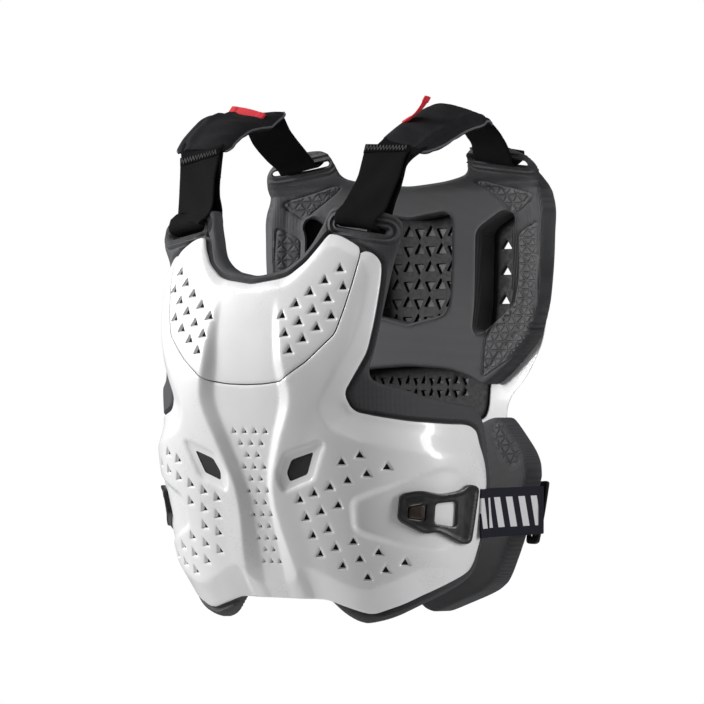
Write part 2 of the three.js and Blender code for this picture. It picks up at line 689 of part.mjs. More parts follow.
// Front plates and their liner
const shellLayer = sheetLayer(frontSheet, () => 0, () => shellWall);
const panelCurtain = wholeCurtain(frontSheet, chestPanelOutline);
const seamCurtain = wholeCurtain(frontSheet, offsetOutline(frontSheet, chestPanelOutline, seamGap));

const chestPanel = shellLayer.intersect(panelCurtain)
  .subtract(ventCutter(frontSheet, frontVents('chest_panel'), ventWidth, shellWall, ventDepthTaper));
addMesh('chest_panel', toGeometry(chestPanel), colours.shell);

const frontShell = shellLayer.intersect(wholeCurtain(frontSheet, frontShellOutline))
  .subtract(seamCurtain)
  .subtract(curtain(frontSheet, diamondWindow))
  .subtract(curtain(frontSheet, mirrored(diamondWindow)))
  .subtract(ventCutter(frontSheet, frontVents('front_shell'), ventWidth, shellWall, ventDepthTaper));
addMesh('front_shell', toGeometry(frontShell), colours.shell);

const linerNear = shellWall + seatGap;
const frontLiner = sheetLayer(frontSheet, () => linerNear, () => linerNear + frontFoam)
  .intersect(wholeCurtain(frontSheet, frontLinerOutline))
  .subtract(slotCutter(frontSheet, frontSlot.angle, frontSlot.down, frontSlot.roll, linerNear + frontFoam));
addMesh('front_liner', toGeometry(frontLiner), colours.liner);

// Back plate, its perforated sheet and its liners
const lugSections = [
  { down: -0.1, foam: lugFoam / backFoam },
  { down: 0.07, foam: lugFoam / backFoam },
  { down: 0.11, foam: 1 },
  { down: 1.1, foam: 1 },
];
const backFoamAt = (down) => backFoam * THREE.MathUtils.clamp(sectionValue(lugSections, 'foam', down), 0, 1);
const latticeNear = backFoam + seatGap;
const backShellNear = latticeNear + latticeWall + seatGap;
const channelVents = bothSides([0.217, 0.272, 0.334].map((down) => ({ angle: 43.6, down })));

const linerLayer = sheetLayer(backSheet, () => 0, backFoamAt);
const backLiner = linerLayer
  .intersect(wholeCurtain(backSheet, backLinerOutline))
  .subtract(wholeCurtain(backSheet, backWindow))
  .subtract(curtain(backSheet, ventChannel))
  .subtract(curtain(backSheet, mirrored(ventChannel)))
  .subtract(slotCutter(backSheet, backSlot.angle, backSlot.down, backSlot.roll, lugFoam));
addMesh('back_liner', toGeometry(backLiner), colours.liner);

const waistLiner = sheetLayer(backSheet, () => 0, () => backShellNear - seatGap)
  .intersect(wholeCurtain(backSheet, waistLinerOutline));
addMesh('waist_liner', toGeometry(waistLiner), colours.liner);

// Triangles of the lattice, pointing up and down by turns
function latticePlaces() {
  const places = [];
  const rows = 4;
  const step = latticePitch / 2;
  for (let row = 0; row < rows; row += 1) {
    const down = 0.18 + (row * latticePitch * 0.87 + 6) / backHeight;
    for (let column = -3; column <= 3; column += 1) {
      const flip = (row + column) % 2 !== 0;
      const angle = THREE.MathUtils.radToDeg((column * step) / backDepth) * 0.75;
      places.push({ angle, down, flip });
    }
  }
  return places;
}

function latticeCutter(places, depth) {
  const size = latticePitch - latticeBar * Math.sqrt(3);
  const pieces = places.map(({ angle, down, flip }) => {
    const geometry = new THREE.CylinderGeometry(size / Math.sqrt(3), size / Math.sqrt(3), 12, 3);
    geometry.rotateX(Math.PI / 2);
    geometry.rotateZ(flip ? 0 : Math.PI);
    geometry.applyMatrix4(frameMatrix(sheetFrame(backSheet, angle, down, depth)));
    return bareGeometry(geometry);
  });
  return toSolid(mergeGeometries(pieces));
}

const backVents = ventCutter(backSheet,
  channelVents.map((place) => ({ ...place, depth: latticeNear })), backVentWidth, 8, 1);
const backLattice = sheetLayer(backSheet, () => latticeNear, () => latticeNear + latticeWall)
  .intersect(wholeCurtain(backSheet, backLatticeOutline))
  .subtract(latticeCutter(latticePlaces(), latticeNear))
  .subtract(backVents);
addMesh('back_lattice', toGeometry(backLattice), colours.lattice);

const backShell = sheetLayer(backSheet, () => backShellNear, () => backShellNear + shellWall)
  .intersect(wholeCurtain(backSheet, backShellOutline))
  .subtract(backVents);
addMesh('back_shell', toGeometry(backShell), colours.shell);

// Straps: stations of a strip, each with its middle, its breadth's direction, width
// and thickness
function stripRings(stations) {
  return stations.map(({ middle, across, width, thickness }, i) => {
    const before = stations[Math.max(i - 1, 0)].middle;
    const after = stations[Math.min(i + 1, stations.length - 1)].middle;
    const along = after.clone().sub(before).normalize();
    const half = across.clone().addScaledVector(along, -across.dot(along)).normalize()
      .multiplyScalar(width / 2);
    const face = along.clone().cross(half).normalize().multiplyScalar(thickness / 2);
    return [[1, 1], [1, -1], [-1, -1], [-1, 1]]
      .map(([a, b]) => middle.clone().addScaledVector(half, a).addScaledVector(face, b));
  });
}

function acrossDirection(tilt, turn) {
  return new THREE.Vector3(
    Math.cos(radians(turn)) * Math.cos(radians(tilt)),
    Math.sin(radians(turn)) * Math.cos(radians(tilt)),
    -Math.sin(radians(tilt)),
  );
}

const frontSlotFrame = sheetFrame(frontSheet, frontSlot.angle, frontSlot.down, linerNear + frontFoam / 2);
const backSlotFrame = sheetFrame(backSheet, backSlot.angle, backSlot.down, lugFoam / 2);

// Stations of the webbing over one shoulder, from its front slot to its back slot, laid
// out on the wearer's left, with the direction that points away from the body
function shoulderStations(route) {
  const [from, to] = [frontSlotFrame.origin, backSlotFrame.origin];
  const stations = route.map(({ reach, rise, side, tilt, turn }) => ({
    middle: new THREE.Vector3(
      THREE.MathUtils.lerp(from.x, to.x, side),
      THREE.MathUtils.lerp(from.y, to.y, reach),
      THREE.MathUtils.lerp(from.z, sleeveTop, rise),
    ),
    across: acrossDirection(tilt, turn),
    width: webbingWidth,
    thickness: webbingThickness,
  }));
  return stations.map((station, i) => {
    const before = stations[Math.max(i - 1, 0)].middle;
    const after = stations[Math.min(i + 1, stations.length - 1)].middle;
    const outward = station.across.clone().cross(after.clone().sub(before)).normalize();
    return { ...station, outward };
  });
}

function standOff(station, distance) {
  return { ...station, middle: station.middle.clone().addScaledVector(station.outward, distance) };
}

// Stations of the turn through a slot, from the first side of the lug to the other
function turnStations(frame, roll, side) {
  const across = frame.across.clone().multiplyScalar(Math.cos(radians(roll)))
    .addScaledVector(frame.up, -Math.sin(radians(roll)));
  return slotTurn.map(({ off, above }) => ({
    middle: frame.origin.clone().addScaledVector(frame.out, off * plyStand * side)
      .addScaledVector(frame.up, above * slotLength),
    across,
    width: webbingWidth,
    thickness: webbingThickness,
  }));
}

function mirrorStations(stations) {
  return stations.map((station) => ({
    ...station,
    middle: station.middle.clone().multiply(new THREE.Vector3(-1, 1, 1)),
    across: station.across.clone().multiply(new THREE.Vector3(-1, 1, 1)),
  }));
}

function sectionMiddle(station, i, stations) {
  const before = stations[Math.max(i - 1, 0)].middle;
  const after = stations[Math.min(i + 1, stations.length - 1)].middle;
  const along = after.clone().sub(before).normalize();
  const across = station.across.clone().addScaledVector(along, -station.across.dot(along)).normalize();
  return { across, out: across.clone().cross(along).normalize() };
}

// Padded sleeve, with the webbing's way through it cut out
function sleeveSolid(stations, whole) {
  const around = [...sleeveSection, ...sleeveSection.map(([a, b]) => [-a, -b])];
  const rings = stations.map((station, i) => {
    const { across, out } = sectionMiddle(station, i, stations);
    return around.map(([a, b]) => station.middle.clone()
      .addScaledVector(across, (a * sleeveWidth) / 2)
      .addScaledVector(out, b * sleeveCrown));
  });
  const clearance = 2 * seatGap;
  const wider = whole.map((station) => ({
    ...station, width: webbingWidth + clearance, thickness: webbingThickness + clearance,
  }));
  return toSolid(loft(rings)).subtract(toSolid(loft(stripRings(wider))));
}

// Pull tab, sewn across the sleeve with its ends raised
function tabStations(stations) {
  const station = stations[tabPlace];
  const along = stations[tabPlace + 1].middle.clone().sub(stations[tabPlace - 1].middle).normalize();
  return [-1, -0.5, 0, 0.5, 1].map((share) => ({
    middle: station.middle.clone()
      .addScaledVector(station.across, share * tabReach * sleeveWidth)
      .addScaledVector(station.outward, sleeveCrown + tabThickness / 2 + seatGap + tabRise * share * share),
    across: along,
    width: tabWidth,
    thickness: tabThickness,
  }));
}

for (const side of ['left', 'right']) {
  const shoulder = shoulderStations(shoulderRoutes[side]);
  const turned = side === 'left' ? (stations) => stations : mirrorStations;
  const strip = (stations) => toSolid(loft(stripRings(turned(stations))));

  const plies = shoulder.slice(1, stitchedEnd + 1);
  const spread = (station, i, sign) => standOff(station, sign * plyStand * plySpread[i]);
  const outerPly = plies.map((station, i) => spread(station, i, 1)).reverse();
  const innerPly = plies.map((station, i) => spread(station, i, -1));
  const frontTurn = turnStations(frontSlotFrame, frontSlot.roll, 1);
  addMesh(`front_strap_${side}`, toGeometry(strip([...outerPly, ...frontTurn, ...innerPly])), colours.webbing);

  const overShoulder = shoulder.slice(webbingOverlap);
  const backTurn = turnStations(backSlotFrame, backSlot.roll, -1);
  addMesh(`back_strap_${side}`, toGeometry(strip([...overShoulder, ...backTurn])), colours.webbing);

  const sleeve = sleeveSolid(turned(shoulder.slice(sleeveFront, sleeveBack)), turned(overShoulder));
  addMesh(`shoulder_sleeve_${side}`, toGeometry(sleeve), colours.webbing);
  addMesh(`pull_tab_${side}`, toGeometry(strip(tabStations(shoulder))), colours.tab);
}

// Hook buckles and their studs, lying on the shell
function shellFitting(near, far) {
  return sheetLayer(frontSheet, () => -seatGap - far, () => -seatGap - near);
}

const buckleLayer = shellFitting(0, buckleThickness);
const studLayer = shellFitting(0, studThickness);
for (const [side, turned] of [['left', (outline) => outline], ['right', mirrored]]) {
  const buckle = buckleLayer.intersect(curtain(frontSheet, turned(buckleOutline)))
    .subtract(curtain(frontSheet, turned(buckleWindow)))
    .subtract(curtain(frontSheet, turned(studPocket)));
  addMesh(`hook_buckle_${side}`, toGeometry(buckle), colours.buckle);
  const studOutline = offsetOutline(frontSheet, studPocket, -1, true);
  const stud = studLayer.intersect(curtain(frontSheet, turned(studOutline)));
  addMesh(`hook_stud_${side}`, toGeometry(stud), colours.stud);
}

// Side straps, from the buckle's rear bar to the slider and in on the back shell
const strapStand = backShellNear + shellWall + 2;
const sidePlaces = [
  sheetPoint(frontSheet, 82.4, sideStrapDown, -2.3),
  sheetPoint(frontSheet, 87, sideStrapDown, -2.1),
  sheetPoint(frontSheet, 93, sideStrapDown, -1.6),
  sheetPoint(backSheet, 60.5, sliderDown, backFoam + 1),
  sheetPoint(backSheet, 57.5, sliderDown, strapStand + 1),
  sheetPoint(backSheet, 52, sliderDown, strapStand),
  sheetPoint(backSheet, 45, sliderDown, strapStand),
];
const sideStations = sidePlaces.map((middle) => ({
  middle,
  across: new THREE.Vector3(0, 0, 1),
  width: webbingWidth,
  thickness: webbingThickness,
}));
addMesh('side_strap_left', toGeometry(toSolid(loft(stripRings(sideStations)))), colours.sideStrap);
addMesh('side_strap_right', toGeometry(toSolid(loft(stripRings(mirrorStations(sideStations))))), colours.sideStrap);

const sliderNear = strapStand + webbingThickness / 2 + 3.6;
const sliderLayer = sheetLayer(backSheet, () => sliderNear, () => sliderNear + sliderThickness);
for (const [side, turned] of [['left', (outline) => outline], ['right', mirrored]]) {
  const slider = sliderLayer.intersect(curtain(backSheet, turned(sliderOutline)))
    .subtract(curtain(backSheet, turned(sliderSlots[0])))
    .subtract(curtain(backSheet, turned(sliderSlots[1])));
  addMesh(`strap_slider_${side}`, toGeometry(slider), colours.buckle);
}

export default group;
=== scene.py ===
"""Looks of the roost deflector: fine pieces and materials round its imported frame.

Lengths inside the functions are millimetres in the part's frame. They turn into metres
where a mesh is made.
"""

import math

import bmesh
import bpy
import numpy as np
from mathutils import Matrix, Vector
from mathutils.geometry import delaunay_2d_cdt


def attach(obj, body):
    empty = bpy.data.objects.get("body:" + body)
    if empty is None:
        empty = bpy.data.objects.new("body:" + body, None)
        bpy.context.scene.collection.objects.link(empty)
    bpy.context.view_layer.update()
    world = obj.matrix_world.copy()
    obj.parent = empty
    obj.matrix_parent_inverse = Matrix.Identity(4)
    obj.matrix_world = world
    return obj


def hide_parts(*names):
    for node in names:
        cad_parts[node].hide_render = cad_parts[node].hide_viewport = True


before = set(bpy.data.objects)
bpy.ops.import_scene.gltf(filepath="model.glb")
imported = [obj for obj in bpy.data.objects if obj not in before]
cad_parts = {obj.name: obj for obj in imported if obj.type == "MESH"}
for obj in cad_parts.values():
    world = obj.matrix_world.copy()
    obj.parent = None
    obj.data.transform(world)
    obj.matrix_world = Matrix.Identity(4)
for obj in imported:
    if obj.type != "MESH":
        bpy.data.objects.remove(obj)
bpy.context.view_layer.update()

MM = 0.001

# Sizes shared with the solids
CHEST_HALF_WIDTH = 190
CHEST_DEPTH = 175
CHEST_SQUARENESS = 2.8
TORSO_AXIS_Y = -10
FRONT_TOP = 132
FRONT_HEIGHT = 386
SHELL_WALL = 3
FRONT_FOAM = 10
TROUGH_DEPTH = 4
RIDGE_HEIGHT = 3.5
TROUGH_HALF_WIDTH = 42
RIDGE_FADE = 30
BEVEL_SLOPE = 0.4
BEVEL_LIMIT = 15
BAY_DEPTH = 6
SEAM_GAP = 1
BACK_HALF_WIDTH = 222
BACK_DEPTH = 113
BACK_SQUARENESS = 4
BACK_TOP = 30
BACK_HEIGHT = 496
BACK_FOAM = 18
LUG_FOAM = 9
LATTICE_WALL = 2
SEAT_GAP = 0.3
PATTERN_RADIUS = 170
WEBBING_WIDTH = 50
WEBBING_THICKNESS = 2
PLY_STAND = 11.5
SLEEVE_WIDTH = 64
SLEEVE_CROWN = 6

# The front vents, a little wider here than in the solids
VENT_WIDTH = 11.2

# How many flat points are measured at one time
BATCH = 1500

# Sections of the chest: share down, depth, width, and the bevel's most drop
CHEST_SECTIONS = [
    (-0.12, 0.75, 1, 0.15),
    (0.02, 0.85, 1, 0.35),
    (0.15, 0.945, 1, 0.7),
    (0.31, 1, 1, 0.7),
    (0.46, 0.974, 1, 0.55),
    (0.62, 0.906, 1, 0.7),
    (0.77, 0.811, 0.98, 1),
    (0.93, 0.691, 0.942, 1),
    (1.06, 0.61, 0.93, 1),
]

# The central trough: share down, floor, ridge and how deep it is there
TROUGH_SECTIONS = [
    (-0.12, 0.8, 0.9, 0),
    (0.16, 0.82, 0.92, 0),
    (0.26, 0.86, 1.05, 0.6),
    (0.33, 0.89, 1.12, 1),
    (0.435, 0.99, 1.3, 1),
    (0.54, 0.69, 0.98, 1),
    (0.655, 0.38, 0.63, 1),
    (0.74, 0.35, 0.64, 1),
    (0.85, 0.42, 0.9, 0.9),
    (0.93, 0.46, 1.1, 0.5),
    (1.06, 0.5, 1.2, 0.3),
]

# Sections of the back: share down, depth and width
BACK_SECTIONS = [
    (-0.06, 0.79, 1),
    (0.0, 0.8, 1),
    (0.03, 0.83, 1),
    (0.06, 0.9, 1),
    (0.1, 1, 1),
    (0.2, 1, 1),
    (0.33, 0.985, 0.985),
    (0.41, 0.96, 0.96),
    (0.54, 0.94, 0.94),
    (0.7, 0.93, 0.93),
    (0.8, 0.92, 0.915),
    (0.91, 0.89, 0.89),
    (1.06, 0.84, 0.84),
]

# Half outlines, in degrees round the torso and share of the height
PLATEAU = [
    (0, 0.15), (16, 0.137), (23, 0.092), (30.7, 0.026), (40, 0.06), (44.2, 0.096), (42.1, 0.194),
    (39.4, 0.268), (35.6, 0.33), (27.6, 0.448), (31.3, 0.513), (41.1, 0.541), (57.5, 0.57),
    (80, 0.585), (84.5, 0.63), (84, 0.8), (81, 0.872), (62.2, 0.869), (55.2, 0.902), (44.5, 0.934),
    (34, 0.911), (18, 0.868), (12, 0.92), (0, 0.922),
]
CHEST_PANEL = [
    (0, 0.13), (12, 0.118), (16, 0.11), (22.5, 0.075), (27, 0.036), (30.5, 0.003), (32, 0),
    (35.4, 0.006), (40.8, 0.031), (41.7, 0.043), (40.7, 0.073), (38.4, 0.138), (36.1, 0.199),
    (33.4, 0.262), (24.9, 0.33), (15.5, 0.383), (8, 0.391), (0, 0.393),
]
FRONT_SHELL = [
    (0, 0.32), (33, 0.15), (39.5, 0.062), (42, 0.05), (44, 0.046), (46.3, 0.056), (47.8, 0.073),
    (48.1, 0.087), (47.5, 0.129), (45.5, 0.222), (43.2, 0.309), (36.2, 0.417), (39.1, 0.463),
    (46.2, 0.476), (56.1, 0.489), (70, 0.497), (78.5, 0.499), (82, 0.508), (84.1, 0.524),
    (86.3, 0.6), (86.9, 0.674), (84.4, 0.806), (82, 0.875), (79.8, 0.891), (70.3, 0.927),
    (58.7, 0.97), (48.6, 0.998), (44, 0.992), (28, 0.961), (0, 0.961),
]
FRONT_LINER = [
    (0, 0.109), (12.3, 0.094), (18, 0.07), (22.3, 0.041), (26, 0), (29, -0.037), (30.5, -0.066),
    (34, -0.075), (42, -0.07), (51, -0.052), (54, -0.037), (55, -0.019), (53, 0.059),
    (48.9, 0.187), (45.6, 0.309), (43.5, 0.37), (47, 0.392), (53.6, 0.402), (60.5, 0.422),
    (73.5, 0.444), (80.6, 0.448), (85, 0.463), (87.8, 0.489), (90.6, 0.564), (91.8, 0.675),
    (87.7, 0.813), (86.5, 0.87), (85, 0.898), (81, 0.915), (73.6, 0.944), (56.8, 1.007),
    (48.7, 1.022), (45, 1.022), (38.8, 1.006), (29.8, 0.966), (26, 0.948), (0, 0.948),
]
BUCKLE_BAY = [
    (38, 0.69), (47.7, 0.66), (62.8, 0.619), (68.2, 0.61), (74, 0.622), (74, 0.81), (66, 0.829),
    (54.3, 0.816), (39, 0.78),
]
DIAMOND_WINDOW = [(29.6, 0.545), (16, 0.579), (12.1, 0.635), (13.6, 0.672), (25.3, 0.64)]
BACK_LINER = [
    (0, 0.084), (14, 0.08), (24.3, 0.076), (34, 0.068), (39, 0.06), (41.5, 0.042), (44.5, 0.015),
    (47, 0.003), (50.5, 0), (55, 0.004), (61, 0.022), (63, 0.04), (62.5, 0.07), (60.8, 0.09),
    (59.5, 0.103), (61, 0.14), (61, 0.25), (60.5, 0.34), (59.4, 0.407), (58, 0.42), (51, 0.478),
    (46, 0.507), (43.4, 0.515), (40.5, 0.502), (33.8, 0.488), (24.1, 0.479), (0, 0.473),
]
BACK_WINDOW = [
    (0, 0.158), (21.4, 0.145), (24.6, 0.15), (25.8, 0.17), (26, 0.245), (25.6, 0.331),
    (24.5, 0.352), (21.5, 0.362), (0, 0.381),
]
VENT_CHANNEL = [
    (39.4, 0.185), (49.4, 0.143), (52.2, 0.161), (51, 0.183), (51.6, 0.333), (50.7, 0.354),
    (43.1, 0.4), (40.1, 0.4),
]
UPPER_PAD = [(39, 0.081), (42, 0.077), (56.5, 0.107), (58, 0.117), (52, 0.151), (49.4, 0.133)]
SIDE_PAD = [
    (59.5, 0.165), (60.1, 0.25), (59.7, 0.335), (60.4, 0.399), (52.5, 0.461), (43.2, 0.499),
    (43.6, 0.46), (43.9, 0.41), (52.9, 0.345), (53.7, 0.278), (53.1, 0.192),
]
BACK_LATTICE = [
    (0, 0.125), (27, 0.118), (45, 0.118), (55, 0.15), (55.5, 0.36), (46, 0.44), (39.5, 0.5),
    (39, 0.57), (36, 0.59), (0, 0.6),
]
BACK_SHELL = [
    (0, 0.105), (22, 0.1), (32, 0.086), (40, 0.085), (54, 0.108), (57, 0.14), (57.5, 0.3),
    (58.2, 0.41), (55.9, 0.454), (52.2, 0.503), (48.9, 0.524), (46.5, 0.55), (45.9, 0.58),
    (47, 0.61), (55, 0.68), (54.5, 0.72), (50, 0.84), (47, 0.91), (39, 0.955), (25, 0.975),
    (17, 0.96), (9, 0.93), (0, 0.925),
]
WAIST_LINER = [
    (0, 0.625), (30, 0.62), (40, 0.604), (45, 0.588), (48.3, 0.581), (50.4, 0.585), (59.4, 0.665),
    (60.3, 0.7), (60, 0.713), (54.8, 0.849), (53.3, 0.886), (51.5, 0.925), (49.6, 0.94),
    (46.5, 0.955), (39, 0.974), (27.3, 0.998), (23.3, 1), (20.4, 0.999), (15, 0.99), (9, 0.965),
    (0, 0.955),
]
WAIST_PAD = [
    (48.4, 0.597), (50.3, 0.592), (51.6, 0.596), (58.7, 0.663), (58, 0.675), (55.4, 0.687),
    (53.4, 0.684), (49.7, 0.65),
]

# Rows of vents: angle, share down, their steps and how many
CHEST_VENTS = [(35.1, 0.094, -4.93, 0.0302, 5), (36.1, 0.141, -4.77, 0.0302, 5),
               (32.5, 0.217, -4.58, 0.0295, 4)]
SHELL_VENTS = [
    (41.2, 0.577, -5.61, 0.0181, 2), (49.3, 0.608, -5.9, 0.0174, 6), (34.3, 0.708, -6.23, 0.017, 3),
    (30.5, 0.772, -6.46, 0.0168, 2), (39.6, 0.803, -6.49, 0.0171, 3), (48.2, 0.831, -6.2, 0.0181, 3),
    (56.8, 0.858, -5.88, 0.0196, 3),
]

# Front straps' middles as worn: outward, back and up in millimetres, then tilt and turn in
# degrees. The wearer's right one is given as if it were on the left.
FRONT_ROUTES = {
    "left": [
        (109, -128, -128, 11, 12), (112, -122, -107, 9, 6), (114, -115, -93, 7, 2),
        (115, -104, -74, 7, 0), (114, -96, -58, 8, 2), (112, -86, -43, 9, 8),
    ],
    "right": [
        (103, -127, -128, 11, 12), (105, -125, -107, 9, 4), (108, -121, -93, 7, 4),
        (112, -116, -75, 4, 4), (115, -110, -59, 1, 2), (119, -104, -43, -4, 0),
    ],
}

# Back straps' middles, and the sleeves' round them, in the same columns
OVER_ROUTES = {
    "left": [
        (115, -104, -76, 7, 0), (114, -90, -56, 12, 0), (113, -64, -40, 20, -6),
        (114, -43, -30.6, 24, -14), (117, -17, -17, 27, -18), (121, 4, -7.2, 26, -16),
        (123, 19, -3, 23, -10), (125, 33, -3.5, 17, -5), (127, 44, -12, 12, 0),
        (130, 57, -25, 10, 0), (131, 65, -34, 10, -3),
    ],
    "right": [
        (109, -114, -76, 2, 4), (114, -110, -59, -4, 2), (118, -106, -39, -8, 0),
        (121, -88, -24, -10, 0), (122, -60, -7.4, -14, 0), (123, -41, -3.5, -12, 0),
        (124, -21, -1, -12, 0), (125, -6, 2, 0, 0), (127, 7, 2.2, 14, 0),
        (130, 30, -19, 18, 0), (131, 55, -36, 14, -3),
    ],
}
STITCHED_END = 5
SLEEVE_FRONT = 2
SLEEVE_BACK = 9
SLOT_TURN = [(1, 0.22), (0.94, 0.12), (0.65, 0.068), (-0.65, 0.068), (-0.94, 0.12), (-1, 0.22)]
PLY_SPREAD = [0.7, 0.45, 0.35, 0.3, 0.3]
FRONT_SLOT = (41.6, -0.009, 11)
LUG_FLARE = 0.22
BACK_SLOT = (53.2, 0.043, 11)

# The slots' size in the solids, and how much of the height foam fills here, from below
SLOT_LENGTH = 54
SLOT_HEIGHT = 10
SLOT_FILLED = 5

# Fittings, in degrees round the torso and share of the sheet's height
BUCKLE = [
    (53.5, 0.677), (53.2, 0.747), (61.8, 0.784), (65.5, 0.777), (74.5, 0.812), (78.5, 0.811),
    (80.6, 0.662), (75.8, 0.653), (73.4, 0.67), (66.2, 0.679), (59.5, 0.668),
]
BUCKLE_WINDOW = [(64.5, 0.703), (64.5, 0.755), (72, 0.766), (71.8, 0.698)]
STUD_POCKET = [(56, 0.708), (56, 0.744), (61.6, 0.75), (61.6, 0.7)]
SLIDER = [(51, 0.72), (57.8, 0.715), (55.2, 0.85), (51.4, 0.85)]
SLIDER_SLOTS = [
    [(52.2, 0.735), (52.2, 0.835), (53.3, 0.835), (53.6, 0.733)],
    [(54.9, 0.731), (54.3, 0.835), (54.9, 0.835), (56.3, 0.73)],
]
SIDE_STRAP_DOWN = 0.733


def section_value(rows, column, down):
    """Smooth value of one column of a table of sections."""
    table = np.array(rows, float)
    places, values = table[:, 0], table[:, column]
    last = len(places) - 1
    i = np.clip(np.searchsorted(places, down, side="right") - 1, 0, last - 1)
    span = places[i + 1] - places[i]
    t = np.clip((down - places[i]) / span, 0, 1)
    before, after = np.maximum(i - 1, 0), np.minimum(i + 2, last)
    slope_a = (values[i + 1] - values[before]) / (places[i + 1] - places[before])
    slope_b = (values[after] - values[i]) / (places[after] - places[i])
    t2, t3 = t * t, t * t * t
    return ((2 * t3 - 3 * t2 + 1) * values[i] + (t3 - 2 * t2 + t) * span * slope_a
            + (3 * t2 - 2 * t3) * values[i + 1] + (t3 - t2) * span * slope_b)


def section_radius(angle, width, depth, squareness):
    across = np.abs(np.sin(np.radians(angle))) / width
    along = np.abs(np.cos(np.radians(angle))) / depth
    return (across ** squareness + along ** squareness) ** (-1 / squareness)


def soft_ramp(x, softness):
    """About zero below 0 and x above it, with a rounded knee."""
    return (x + np.sqrt(x * x + softness * softness)) / 2


def smooth_step(x, low, high):
    t = np.clip((x - low) / (high - low), 0, 1)
    return t * t * (3 - 2 * t)


def segments(loops):
    """Starts and ends of all the loops' edges."""
    starts = np.concatenate([np.asarray(loop, float) for loop in loops])
    ends = np.concatenate([np.roll(np.asarray(loop, float), -1, axis=0) for loop in loops])
    return starts, ends


def edge_distance(points, loops):
    """Distance from flat points to the nearest edge of some loops."""
    starts, ends = segments(loops)
    edge = ends - starts
    length = np.maximum((edge ** 2).sum(1), 1e-12)
    nearest = np.empty(len(points))
    for first in range(0, len(points), BATCH):
        part = points[first:first + BATCH]
        offset = part[:, None, :] - starts[None]
        along = np.clip((offset * edge).sum(2) / length, 0, 1)
        gap = offset - along[..., None] * edge
        nearest[first:first + BATCH] = np.sqrt((gap ** 2).sum(2).min(1))
    return nearest


def inside(points, loops):
    """Whether flat points lie inside an odd number of the loops."""
    starts, ends = segments(loops)
    odd = np.zeros(len(points), bool)
    for first in range(0, len(points), BATCH):
        part = points[first:first + BATCH]
        x, y = part[:, 0][:, None], part[:, 1][:, None]
        crosses = (starts[:, 1] > y) != (ends[:, 1] > y)
        rise = np.where(np.abs(ends[:, 1] - starts[:, 1]) < 1e-12, 1e-12, ends[:, 1] - starts[:, 1])
        at = (ends[:, 0] - starts[:, 0]) * (y - starts[:, 1]) / rise + starts[:, 0]
        odd[first:first + BATCH] = (crosses & (x < at)).sum(1) % 2 == 1
    return odd


def signed_distance(points, loop):
    """Distance from a loop's edge, below nought inside it."""
    distance = edge_distance(points, [loop])
    return np.where(inside(points, [loop]), -distance, distance)


class Sheet:
    """A curved sheet round the torso, with flat coordinates in millimetres."""

    def __init__(self, side, top, height, radius):
        self.side = side
        self.top = top
        self.height = height
        self.radius = radius

    def flat(self, places):
        table = np.array(places, float)
        return np.stack([np.radians(table[:, 0]) * PATTERN_RADIUS, -table[:, 1] * self.height], 1)

    def place(self, flat, depth):
        angle = np.degrees(flat[:, 0] / PATTERN_RADIUS)
        down = -flat[:, 1] / self.height
        radius = self.radius(angle, down) + self.side * depth
        turn = np.radians(angle)
        return np.stack([radius * np.sin(turn), TORSO_AXIS_Y + self.side * radius * np.cos(turn),
                         -self.top - down * self.height], 1)

    def at(self, angle, down, depth):
        return self.place(self.flat([(angle, down)]), np.array([float(depth)]))[0]

    def axes(self, angle, down, depth):
        """Middle, across, up and outward directions on the sheet."""
        middle = self.at(angle, down, depth)
        across = self.at(angle + 1, down, depth) - self.at(angle - 1, down, depth)
        rise = self.at(angle, down - 0.004, depth) - self.at(angle, down + 0.004, depth)
        across /= np.linalg.norm(across)
        rise /= np.linalg.norm(rise)
        out = np.cross(across, rise) * -self.side
        out /= np.linalg.norm(out)
        up = np.cross(out, across) * -self.side
        return middle, across, up / np.linalg.norm(up), out


def whole(half):
    """Both halves of an outline that meets the centre line."""
    return list(half) + [(-angle, down) for angle, down in reversed(half) if angle > 0]


def mirrored(outline):
    return [(-angle, down) for angle, down in reversed(outline)]


def pair(sheet, outline, radius):
    """An outline and its mirror image, rounded, in flat coordinates."""
    return [rounded(sheet.flat(turned), radius) for turned in (outline, mirrored(outline))]


def rounded(loop, radius, spacing=2.0):
    """Loop with its corners rounded and its edges cut into short steps."""
    points = np.asarray(loop, float)
    for cut in (radius, radius / 2, radius / 4):
        made = []
        for i, here in enumerate(points):
            before, after = points[i - 1], points[(i + 1) % len(points)]
            for other in (before, after):
                reach = np.linalg.norm(other - here)
                made.append(here + (other - here) * min(cut, reach * 0.3) / max(reach, 1e-9))
        points = np.array(made)
    made = []
    for i, here in enumerate(points):
        after = points[(i + 1) % len(points)]
        steps = max(1, int(round(np.linalg.norm(after - here) / spacing)))
        made.extend(here + (after - here) * k / steps for k in range(steps))
    made = np.array(made)
    keep = np.linalg.norm(made - np.roll(made, 1, axis=0), axis=1) > 0.12
    return made[keep]


